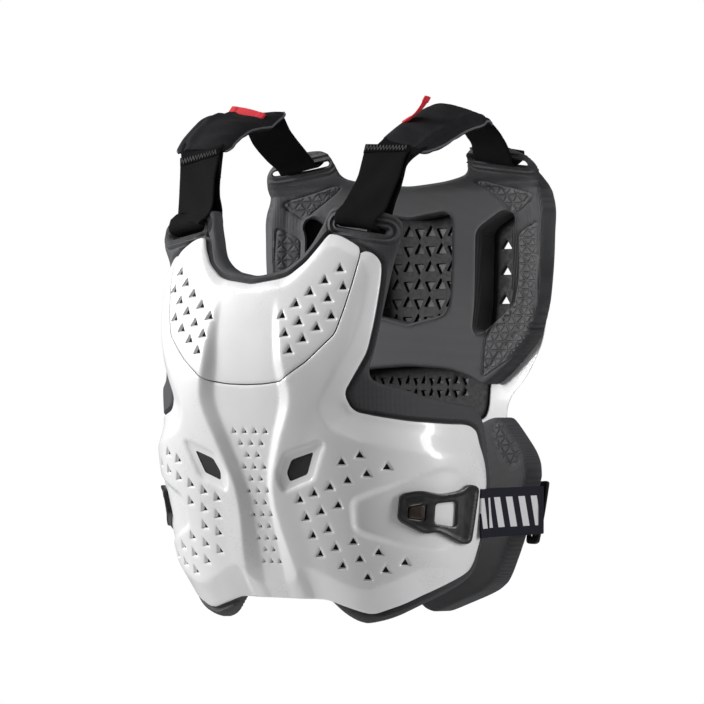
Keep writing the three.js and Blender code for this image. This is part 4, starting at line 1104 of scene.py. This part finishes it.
def lattice_holes():
    holes = []
    for row in range(WINDOW_ROWS):
        drop = WINDOW_TOP * BACK_HEIGHT + WINDOW_FIRST_ROW + WINDOW_ROW_PITCH * row
        for step in range(-WINDOW_SIDE_HOLES, WINDOW_SIDE_HOLES + 1):
            middle = np.array([step * WINDOW_STEP * PATTERN_RADIUS / WINDOW_RADIUS, -drop])
            hole = triangle_hole(middle, WINDOW_HOLE_WIDTH, 0.8, flip=(row + step) % 2 == 0)
            hole[:, 0] = (hole[:, 0] - middle[0]) * WINDOW_HOLE_STRETCH + middle[0]
            if signed_distance(hole, back_window).max() < WINDOW_MARGIN:
                holes.append(hole)
    for row in range(BAND_ROWS):
        drop = BAND_TOP * BACK_HEIGHT + BAND_ROW_PITCH * row
        for step in range(-BAND_SIDE_HOLES, BAND_SIDE_HOLES + 1):
            middle = np.array([step * BAND_STEP * PATTERN_RADIUS / BAND_RADIUS, -drop])
            holes.append(triangle_hole(middle, BAND_HOLE_WIDTH, 0.6, flip=(row + step) % 2 == 0))
    return holes + channel_holes()


lattice = plate("lattice_back", BACK, [lattice_loop] + lattice_holes(),
                lambda flat, distance: lattice_stand + round_edge(distance, 0.6),
                lambda flat, distance: np.full(len(flat), lattice_stand + LATTICE_WALL), SPACING * 1.4,
                (0.6,))
dress(lattice, LATTICE_LOOK, "lattice", "back_lattice")

# Back shell
back_shell_loop = flat_loop(BACK, BACK_SHELL, 8)


def back_shell_relief(flat, distance):
    """How far the back shell stands out: rounded edge, bevel all round and raised spine."""
    spine = 2.2 * (1 - smooth_step(np.abs(flat[:, 0]), 18, 30))
    bevel = 3.0 * smooth_step(distance, 3, 22)
    return bevel + spine * smooth_step(distance, 8, 26) - round_edge(distance, 1.2)


def in_lattice(flat):
    """One where the shell lies behind the dark perforated sheet, where its inner face gets painted
    near-black shade, nought elsewhere.
    """
    return smooth_step(-signed_distance(flat, lattice_loop), -2, 3)


def back_shell_flat(thing):
    """Flat places of the back shell's vertices, worked out from where they stand."""
    points = np.array([vertex.co[:] for vertex in thing.data.vertices]) / MM
    angle = np.degrees(np.arctan2(points[:, 0], points[:, 1] - TORSO_AXIS_Y))
    down = -(points[:, 2] + BACK_TOP) / BACK_HEIGHT
    return np.stack([np.radians(angle) * PATTERN_RADIUS, -down * BACK_HEIGHT], 1)


back_shell = plate("shell_back", BACK, [back_shell_loop] + channel_holes(),
                   lambda flat, distance: np.full(len(flat), float(back_shell_stand)),
                   lambda flat, distance: back_shell_stand + SHELL_WALL - 1.5
                   + back_shell_relief(flat, distance),
                   SPACING * 1.2, (0.4, 1.2, 3.0))
# The inner face is painted near-black shade where it lies behind the lattice.
shade_behind_lattice = np.zeros(len(back_shell.data.vertices))
half_count = len(shade_behind_lattice) // 2
shade_behind_lattice[:half_count] = in_lattice(back_shell_flat(back_shell)[:half_count])
back_shell.data.attributes.new("shade_behind_lattice", "FLOAT", "POINT").data.foreach_set("value", shade_behind_lattice)
dress(back_shell, SHELL_LOOK, "white_shell", "back_shell")


# Straps
SWEEP_SMOOTH = 50
TUBE_SMOOTH = 60


def smooth_path(stations, step=2.5):
    """Stations (middle, across) drawn closely along a smooth curve through them."""
    middles = np.array([s[0] for s in stations])
    across = np.array([s[1] for s in stations])
    made_m, made_a = [], []
    for i in range(len(middles) - 1):
        before, after = max(i - 1, 0), min(i + 2, len(middles) - 1)
        reach = np.linalg.norm(middles[i + 1] - middles[i])
        count = max(2, int(round(reach / step)))
        span_a = max(np.linalg.norm(middles[i + 1] - middles[before]), 1e-6)
        span_b = max(np.linalg.norm(middles[after] - middles[i]), 1e-6)
        slope_a = (middles[i + 1] - middles[before]) / span_a * reach
        slope_b = (middles[after] - middles[i]) / span_b * reach
        for k in range(count):
            t = k / count
            t2, t3 = t * t, t ** 3
            made_m.append((2 * t3 - 3 * t2 + 1) * middles[i] + (t3 - 2 * t2 + t) * slope_a
                          + (3 * t2 - 2 * t3) * middles[i + 1] + (t3 - t2) * slope_b)
            made_a.append(across[i] * (1 - t) + across[i + 1] * t)
    made_m.append(middles[-1])
    made_a.append(across[-1])
    return np.array(made_m), np.array(made_a)


def path_frames(middles, across):
    """Directions along, across and out of a path at each of its points."""
    along = np.gradient(middles, axis=0)
    along /= np.linalg.norm(along, axis=1, keepdims=True)
    across = across - along * (across * along).sum(1, keepdims=True)
    across /= np.linalg.norm(across, axis=1, keepdims=True)
    out = np.cross(across, along)
    return along, across, out


def sweep(name, stations, section, extra=None, masks=None, step=2.5):
    """Closed sweep of a section (across, out) along stations. The section and an extra
    offset may change along the way, given as functions of the share along it."""
    middles, across = smooth_path(stations, step)
    along, across, out = path_frames(middles, across)
    lengths = lengths_along(middles)
    total = lengths[-1]
    points, uv, made_masks = [], [], {key: [] for key in (masks or {})}
    for i, middle in enumerate(middles):
        share = lengths[i] / total
        ring = np.asarray(section(share))
        bend = extra(share, ring) if extra else np.zeros(len(ring))
        points.append(middle + ring[:, :1] * across[i] + (ring[:, 1:2] + bend[:, None]) * out[i])
        uv.append(np.stack([ring[:, 0], np.full(len(ring), lengths[i])], 1))
        for key, values in (masks or {}).items():
            made_masks[key].append(values(share, ring))
    faces = ring_faces(len(middles), len(ring))
    thing = make_object(name, np.concatenate(points), faces, np.concatenate(uv),
                        {key: np.concatenate(v) for key, v in made_masks.items()}, SWEEP_SMOOTH)
    recalculate(thing)
    return thing, total


def lengths_along(middles):
    """Length from the start to each point of a path."""
    return np.concatenate([[0], np.cumsum(np.linalg.norm(np.diff(middles, axis=0), axis=1))])


def ring_faces(rings, sides):
    """Faces between rings of points, with a face on each end."""
    faces = []
    for i in range(rings - 1):
        for k in range(sides):
            a, b = i * sides + k, i * sides + (k + 1) % sides
            faces.append((a, b, b + sides, a + sides))
    faces.append(tuple(range(sides))[::-1])
    faces.append(tuple((rings - 1) * sides + k for k in range(sides)))
    return faces


def recalculate(thing):
    """Turn a thing's faces outwards."""
    work = bmesh.new()
    work.from_mesh(thing.data)
    bmesh.ops.recalc_face_normals(work, faces=work.faces)
    work.to_mesh(thing.data)
    work.free()


def webbing_section(width, thickness, cells=22):
    """Flat section with rounded edges."""
    half, thin = width / 2, thickness / 2
    across = np.linspace(-half + thin, half - thin, cells)
    top = [(a, thin) for a in across]
    edge = [(half - thin + thin * math.cos(math.radians(t)), thin * math.sin(math.radians(t)))
            for t in (50, 0, -50)]
    bottom = [(a, -thin) for a in across[::-1]]
    other = [(-half + thin - thin * math.cos(math.radians(t)), -thin * math.sin(math.radians(t)))
             for t in (50, 0, -50)]
    return np.array(top + edge + bottom + other)


def across_direction(tilt, turn):
    """Direction across a strap: outwards, dropped by the tilt and turned to the back."""
    tilt, turn = math.radians(tilt), math.radians(turn)
    return np.array([math.cos(turn) * math.cos(tilt), math.sin(turn) * math.cos(tilt), -math.sin(tilt)])


front_middle, front_across, front_up, front_out = FRONT.axes(
    FRONT_SLOT[0], FRONT_SLOT[1], SHELL_WALL + SEAT_GAP + FRONT_FOAM / 2)
lean = math.atan(LUG_FLARE)
front_across, front_out = (front_across * math.cos(lean) + front_out * math.sin(lean),
                           front_out * math.cos(lean) - front_across * math.sin(lean))
back_middle, back_across, back_up, back_out = BACK.axes(BACK_SLOT[0], BACK_SLOT[1], LUG_FOAM / 2)


def shoulder_stations(route):
    return [(np.array([x, y, z], float), across_direction(tilt, turn)) for x, y, z, tilt, turn in route]


def outward(stations, i):
    """Direction that faces away from the wearer at a station."""
    before, after = stations[max(i - 1, 0)][0], stations[min(i + 1, len(stations) - 1)][0]
    direction = np.cross(stations[i][1], after - before)
    return direction / np.linalg.norm(direction)


def turn_stations(middle, across, up, out, roll, side):
    """Stations of a strap that passes through a slot and rises on both sides of it."""
    roll = math.radians(roll)
    breadth = across * math.cos(roll) - up * math.sin(roll)
    rise = up * math.cos(roll) + across * math.sin(roll)
    return [(middle + out * off * PLY_STAND * side + rise * above * SLOT_LENGTH, breadth)
            for off, above in SLOT_TURN]


def flipped(stations):
    """Stations mirrored to the wearer's other side."""
    return [(m * np.array([-1, 1, 1]), a * np.array([-1, 1, 1])) for m, a in stations]


def tube(name, points, radius, sides=8):
    """Thin round tube along points."""
    points = np.asarray(points, float)
    along = np.gradient(points, axis=0)
    along /= np.maximum(np.linalg.norm(along, axis=1, keepdims=True), 1e-9)
    guide = np.array([0.13, 0.21, 0.97])
    first = np.cross(along, guide)
    first /= np.linalg.norm(first, axis=1, keepdims=True)
    second = np.cross(along, first)
    rings = []
    for k in range(sides):
        t = 2 * math.pi * k / sides
        rings.append(points + radius * (math.cos(t) * first + math.sin(t) * second))
    rings = np.stack(rings, 1)
    faces = ring_faces(len(points), sides)
    thing = make_object(name, rings.reshape(-1, 3), faces, smooth_angle=TUBE_SMOOTH)
    recalculate(thing)
    return thing


def stitch_band(name, stations, first, last, width, lift):
    """Zigzag thread sewn across a strap's end, standing just proud of it."""
    middles, across = smooth_path(stations, 1.0)
    along, across, out = path_frames(middles, across)
    lengths = lengths_along(middles)

    def on_strap(a, length):
        i = int(np.argmin(np.abs(lengths - length)))
        return middles[i] + across[i] * a + out[i] * lift

    steps = 26
    turns = [on_strap(width * (k / steps - 0.5), first if k % 2 else last) for k in range(steps + 1)]
    points = [turns[k] * (1 - t) + turns[k + 1] * t for k in range(steps) for t in (0, 0.25, 0.5, 0.75)]
    return tube(name, points, 0.5, 6)


def to_side(thing, side_name):
    """Mirror a thing made for the wearer's left onto the right, where it belongs there."""
    if side_name == "right":
        thing.data.transform(Matrix.Diagonal((-1, 1, 1, 1)))
        thing.data.flip_normals()
    return thing


webbing = webbing_section(WEBBING_WIDTH, WEBBING_THICKNESS)
hem = webbing_section(WEBBING_WIDTH + 0.6, WEBBING_THICKNESS + 1.6)


def worn_strap(share, ring):
    """Soft wrinkles of worn webbing, none at its sewn end."""
    a = ring[:, 0]
    wave = 0.55 * np.sin(share * 27 + a * 0.11) * np.cos(share * 9 - a * 0.07 + 1)
    return wave * np.minimum(1, share / 0.06)


# Each sleeve's width at its front end, as a share of the rest, and how far its edges droop
SLEEVE_FRONT_SHARE = {"left": 0.84, "right": 1.02}
SLEEVE_DROOP = 3.0

# Pull tabs' points, as if both were on the wearer's left, and how far they lean up at the back
TABS = {
    "left": [(89, -27, -12), (97, -28, -8.5), (106, -28, -3), (113, -28, 4), (118, -27, 12)],
    "right": [(146, -22, 9.5), (136, -21.5, 8.4), (125, -21, 6.3), (114, -20.5, 3.4), (104, -20, 0)],
}
TAB_TILT = {"left": 0, "right": 0.6}

for side_name in ("left", "right"):
    route = shoulder_stations(FRONT_ROUTES[side_name])
    plies = list(range(1, STITCHED_END + 1))
    outer_ply = [(route[i][0] + outward(route, i) * PLY_STAND * PLY_SPREAD[i - 1], route[i][1])
                 for i in reversed(plies)]
    inner_ply = [(route[i][0] - outward(route, i) * PLY_STAND * PLY_SPREAD[i - 1], route[i][1])
                 for i in plies]
    front_turn = turn_stations(front_middle, front_across, front_up, front_out, FRONT_SLOT[2], 1)
    loop = outer_ply + front_turn + inner_ply
    strap, length = sweep("webbing_front_" + side_name, loop, lambda share: webbing, worn_strap)
    dress(to_side(strap, side_name), WEBBING_LOOK, "webbing", "front_strap_" + side_name)

    # Sewn end: a folded hem under a zigzag of thread
    fine, fine_across = smooth_path(loop, 1.0)
    end = [(fine[i], fine_across[i]) for i in (0, 3, 6, 9)]
    band, band_length = sweep("hem_" + side_name, end, lambda share: hem)
    dress(to_side(band, side_name), WEBBING_LOOK, "webbing")
    stitches = stitch_band("stitches_" + side_name, loop, 1.5, 8, 46, -2.1)
    dress(to_side(stitches, side_name), THREAD_LOOK, "webbing")

    over = shoulder_stations(OVER_ROUTES[side_name])
    back_turn = turn_stations(back_middle, back_across, back_up, back_out, BACK_SLOT[2], -1)
    strap, length = sweep("webbing_back_" + side_name, over + back_turn, lambda share: webbing)
    dress(to_side(strap, side_name), WEBBING_LOOK, "webbing", "back_strap_" + side_name)

    # Padded sleeve, narrower at its front end, with piped edges
    sleeve_route = over[SLEEVE_FRONT:SLEEVE_BACK]
    front_share = SLEEVE_FRONT_SHARE[side_name]

    def half_width(share):
        close = min(share, 1 - share)
        corner = 1 - 0.14 * (1 - min(1, close / 0.07)) ** 2
        return SLEEVE_WIDTH / 2 * corner * (front_share + (1 - front_share) * smooth_step(share, 0, 0.3))

    def sleeve_section(share):
        close = min(share, 1 - share)
        full = 0.3 + 0.7 * min(1, close / 0.1) ** 0.7
        turns = np.linspace(0, 2 * math.pi, 56, endpoint=False)
        a = half_width(share) * np.sign(np.cos(turns)) * np.abs(np.cos(turns)) ** 0.7
        thick = np.where(np.sin(turns) > 0, SLEEVE_CROWN - 1, SLEEVE_CROWN + 3)
        b = full * thick * np.sign(np.sin(turns)) * np.abs(np.sin(turns)) ** 0.8
        return np.stack([a, b], 1)

    def sleeve_folds(share, ring):
        a = ring[:, 0]
        wrinkle = 1.0 * np.sin(share * 34 + a * 0.1 + 0.7) * np.cos(share * 12 - a * 0.06)
        wrinkle *= np.exp(-((np.abs(a) - 12) / 20) ** 2)
        ridge = 1.6 * np.exp(-((a - 17) / 3.5) ** 2) - 1.0 * np.exp(-((a - 22.5) / 2.5) ** 2)
        droop = -SLEEVE_DROOP * (np.abs(a) / (SLEEVE_WIDTH / 2)) ** 3
        return wrinkle + ridge * (ring[:, 1] > 0) + droop

    sleeve, length = sweep("sleeve_" + side_name, sleeve_route, sleeve_section, sleeve_folds, step=1.8)
    dress(to_side(sleeve, side_name), SLEEVE_LOOK, "sleeve", "shoulder_sleeve_" + side_name)
    middles, across = smooth_path(sleeve_route, 1.8)
    along, across, out = path_frames(middles, across)
    shares = np.linspace(0, 1, len(middles))
    halves = np.array([half_width(share) for share in shares])[:, None]
    for edge, sign in (("outer", 1), ("inner", -1)):
        droop = out * SLEEVE_DROOP * (halves / (SLEEVE_WIDTH / 2)) ** 3
        path = middles + across * sign * halves - droop
        piping = tube("piping_%s_%s" % (edge, side_name), path, 1.2)
        dress(to_side(piping, side_name), PIPING_LOOK, "sleeve")

    # Pull tab with folded ends
    tab_points = np.array(TABS[side_name], float)
    direction = over[5][0] - over[3][0]
    direction = direction + np.array([0, 0, TAB_TILT[side_name]]) * np.linalg.norm(direction)
    direction = direction / np.linalg.norm(direction)
    thin, thick = webbing_section(11, 1.6, 10), webbing_section(11.4, 3.4, 10)
    tab, length = sweep("tab_" + side_name, [(point, direction) for point in tab_points],
                        lambda share: thick if min(share, 1 - share) < 0.17 else thin, step=1.2)
    dress(to_side(tab, side_name), TAB_LOOK, "tab", "pull_tab_" + side_name)

# Buckles and studs
BUCKLE_WALL = 5
STUD_WALL = 3.5
FITTING_SPACING = 1.8
for side_name, turned in (("left", lambda outline: outline), ("right", mirrored)):
    outline = rounded(FRONT.flat(turned(BUCKLE)), 3, 1.5)
    window = rounded(FRONT.flat(turned(BUCKLE_WINDOW)), 2, 1.5)
    pocket = rounded(FRONT.flat(turned(STUD_POCKET)), 2, 1.5)

    def buckle_near(flat, distance):
        outer = edge_distance(flat, [outline])
        step = 0.9 * smooth_step(outer, 3.0, 4.2)
        return -SEAT_GAP - BUCKLE_WALL + round_edge(distance, 1.3) + step

    buckle = plate("buckle_" + side_name, FRONT, [outline, window, pocket], buckle_near,
                   lambda flat, distance: -SEAT_GAP - round_edge(distance, 0.5),
                   FITTING_SPACING, (0.4, 1.3))
    dress(buckle, BUCKLE_LOOK, "buckle", "hook_buckle_" + side_name)
    stud_loop = grown(pocket, -1.0)
    stud = plate("stud_" + side_name, FRONT, [stud_loop],
                 lambda flat, distance: -SEAT_GAP - STUD_WALL + round_edge(distance, 2.5),
                 lambda flat, distance: np.full(len(flat), -SEAT_GAP),
                 FITTING_SPACING, (0.6, 1.5))
    dress(stud, STUD_LOOK, "stud", "hook_stud_" + side_name)

# Side straps and sliders
SLIDER_WALL = 4
strap_drop = FRONT_TOP + SIDE_STRAP_DOWN * FRONT_HEIGHT
strap_down = (strap_drop - BACK_TOP) / BACK_HEIGHT
strap_stand = back_shell_stand + SHELL_WALL + 2
side_route = [FRONT.at(82.4, SIDE_STRAP_DOWN, -2.3), FRONT.at(87, SIDE_STRAP_DOWN, -2.1),
              FRONT.at(93, SIDE_STRAP_DOWN, -1.6), BACK.at(60.5, strap_down, BACK_FOAM + 1),
              BACK.at(57.5, strap_down, strap_stand + 1), BACK.at(52, strap_down, strap_stand),
              BACK.at(45, strap_down, strap_stand)]
side_route = [(np.array([m[0], m[1], -strap_drop]), np.array([0, 0, 1.0])) for m in side_route]
slider_near = strap_stand + WEBBING_THICKNESS / 2 + 3.6
for side_name, orient, turned in (("left", lambda s: s, lambda outline: outline),
                                  ("right", flipped, mirrored)):
    strap, length = sweep("webbing_side_" + side_name, orient(side_route), lambda share: webbing,
                          masks={"barred": lambda share, ring: np.full(len(ring), 1.0 * (share < 0.62))})
    dress(strap, SIDE_LOOK, "side_webbing", "side_strap_" + side_name)
    outline = rounded(BACK.flat(turned(SLIDER)), 2, 1.5)
    slots = [rounded(BACK.flat(turned(slot)), 0.8, 1.5) for slot in SLIDER_SLOTS]
    slider = plate("slider_" + side_name, BACK, [outline] + slots,
                   lambda flat, distance: slider_near + round_edge(distance, 1.0),
                   lambda flat, distance: slider_near + SLIDER_WALL - round_edge(distance, 1.2),
                   FITTING_SPACING, (0.4, 1.0))
    dress(slider, BUCKLE_LOOK, "buckle", "strap_slider_" + side_name)

# Camera, at the photograph's viewing angle, in degrees from the front and metres
AZIMUTH, ELEVATION, DISTANCE = 37.0, -0.386, 3.929
target = Vector((0, 0, -0.25))


def aim(thing, azimuth, elevation, distance):
    """Stand a camera or light on a line from the target and point it there."""
    a, e = math.radians(azimuth), math.radians(elevation)
    way = Vector((math.sin(a) * math.cos(e), -math.cos(a) * math.cos(e), math.sin(e)))
    thing.location = target + way * distance
    thing.rotation_mode = "QUATERNION"
    thing.rotation_quaternion = (-way).to_track_quat("-Z", "Y")
    bpy.context.scene.collection.objects.link(thing)


camera_data = bpy.data.cameras.new("camera")
camera_data.sensor_width = 36
camera_data.lens = 190.9
camera_data.clip_end = 60
camera = bpy.data.objects.new("camera", camera_data)
aim(camera, AZIMUTH, ELEVATION, DISTANCE)
bpy.context.scene.camera = camera

# Pale floor, below what the camera sees
floor_mesh = bpy.data.meshes.new("floor")
floor_mesh.from_pydata([(-1, -1, 0), (1, -1, 0), (1, 1, 0), (-1, 1, 0)], [], [(0, 1, 2, 3)])
floor = bpy.data.objects.new("floor", floor_mesh)
floor.location = (0, 0, -1.4)
bpy.context.scene.collection.objects.link(floor)
floor_look = Graph("floor", (0.9, 0.9, 0.9), 0.9)
floor_fine = floor_look.noise(floor_look.place(), 3, 3)
floor_mesh.materials.append(floor_look.finish(
    floor_look.mix_colour(floor_fine, (0.89, 0.89, 0.89), (0.92, 0.92, 0.92))))

# Studio light: the surroundings look white to the camera and give weaker light
world = bpy.data.worlds.new("studio")
world.use_nodes = True
bpy.context.scene.world = world
world_nodes, world_links = world.node_tree.nodes, world.node_tree.links
seen = world_nodes["Background"]
seen.inputs["Color"].default_value = (1, 1, 1, 1)
seen.inputs["Strength"].default_value = 1.0
lit = world_nodes.new("ShaderNodeBackground")
lit.inputs["Color"].default_value = (1, 1, 1, 1)
lit.inputs["Strength"].default_value = 0.15
path = world_nodes.new("ShaderNodeLightPath")
choose = world_nodes.new("ShaderNodeMixShader")
world_links.new(path.outputs["Is Camera Ray"], choose.inputs[0])
world_links.new(lit.outputs[0], choose.inputs[1])
world_links.new(seen.outputs[0], choose.inputs[2])
world_links.new(choose.outputs[0], world_nodes["World Output"].inputs[0])


def soft_light(name, azimuth, elevation, distance, size, power):
    """Area light aimed at the middle of the object."""
    data = bpy.data.lights.new(name, "AREA")
    data.shape = "RECTANGLE"
    data.size, data.size_y = size
    data.energy = power
    light = bpy.data.objects.new(name, data)
    aim(light, azimuth, elevation, distance)


soft_light("key", -60, 20, 2.3, (1.0, 1.6), 86)
soft_light("top", 10, 72, 2.2, (1.8, 1.4), 12)
soft_light("side", 96, 10, 1.9, (0.35, 1.2), 21)
soft_light("front", 24, 6, 3.0, (0.5, 1.4), 3)
bpy.context.scene.view_settings.view_transform = "Standard"
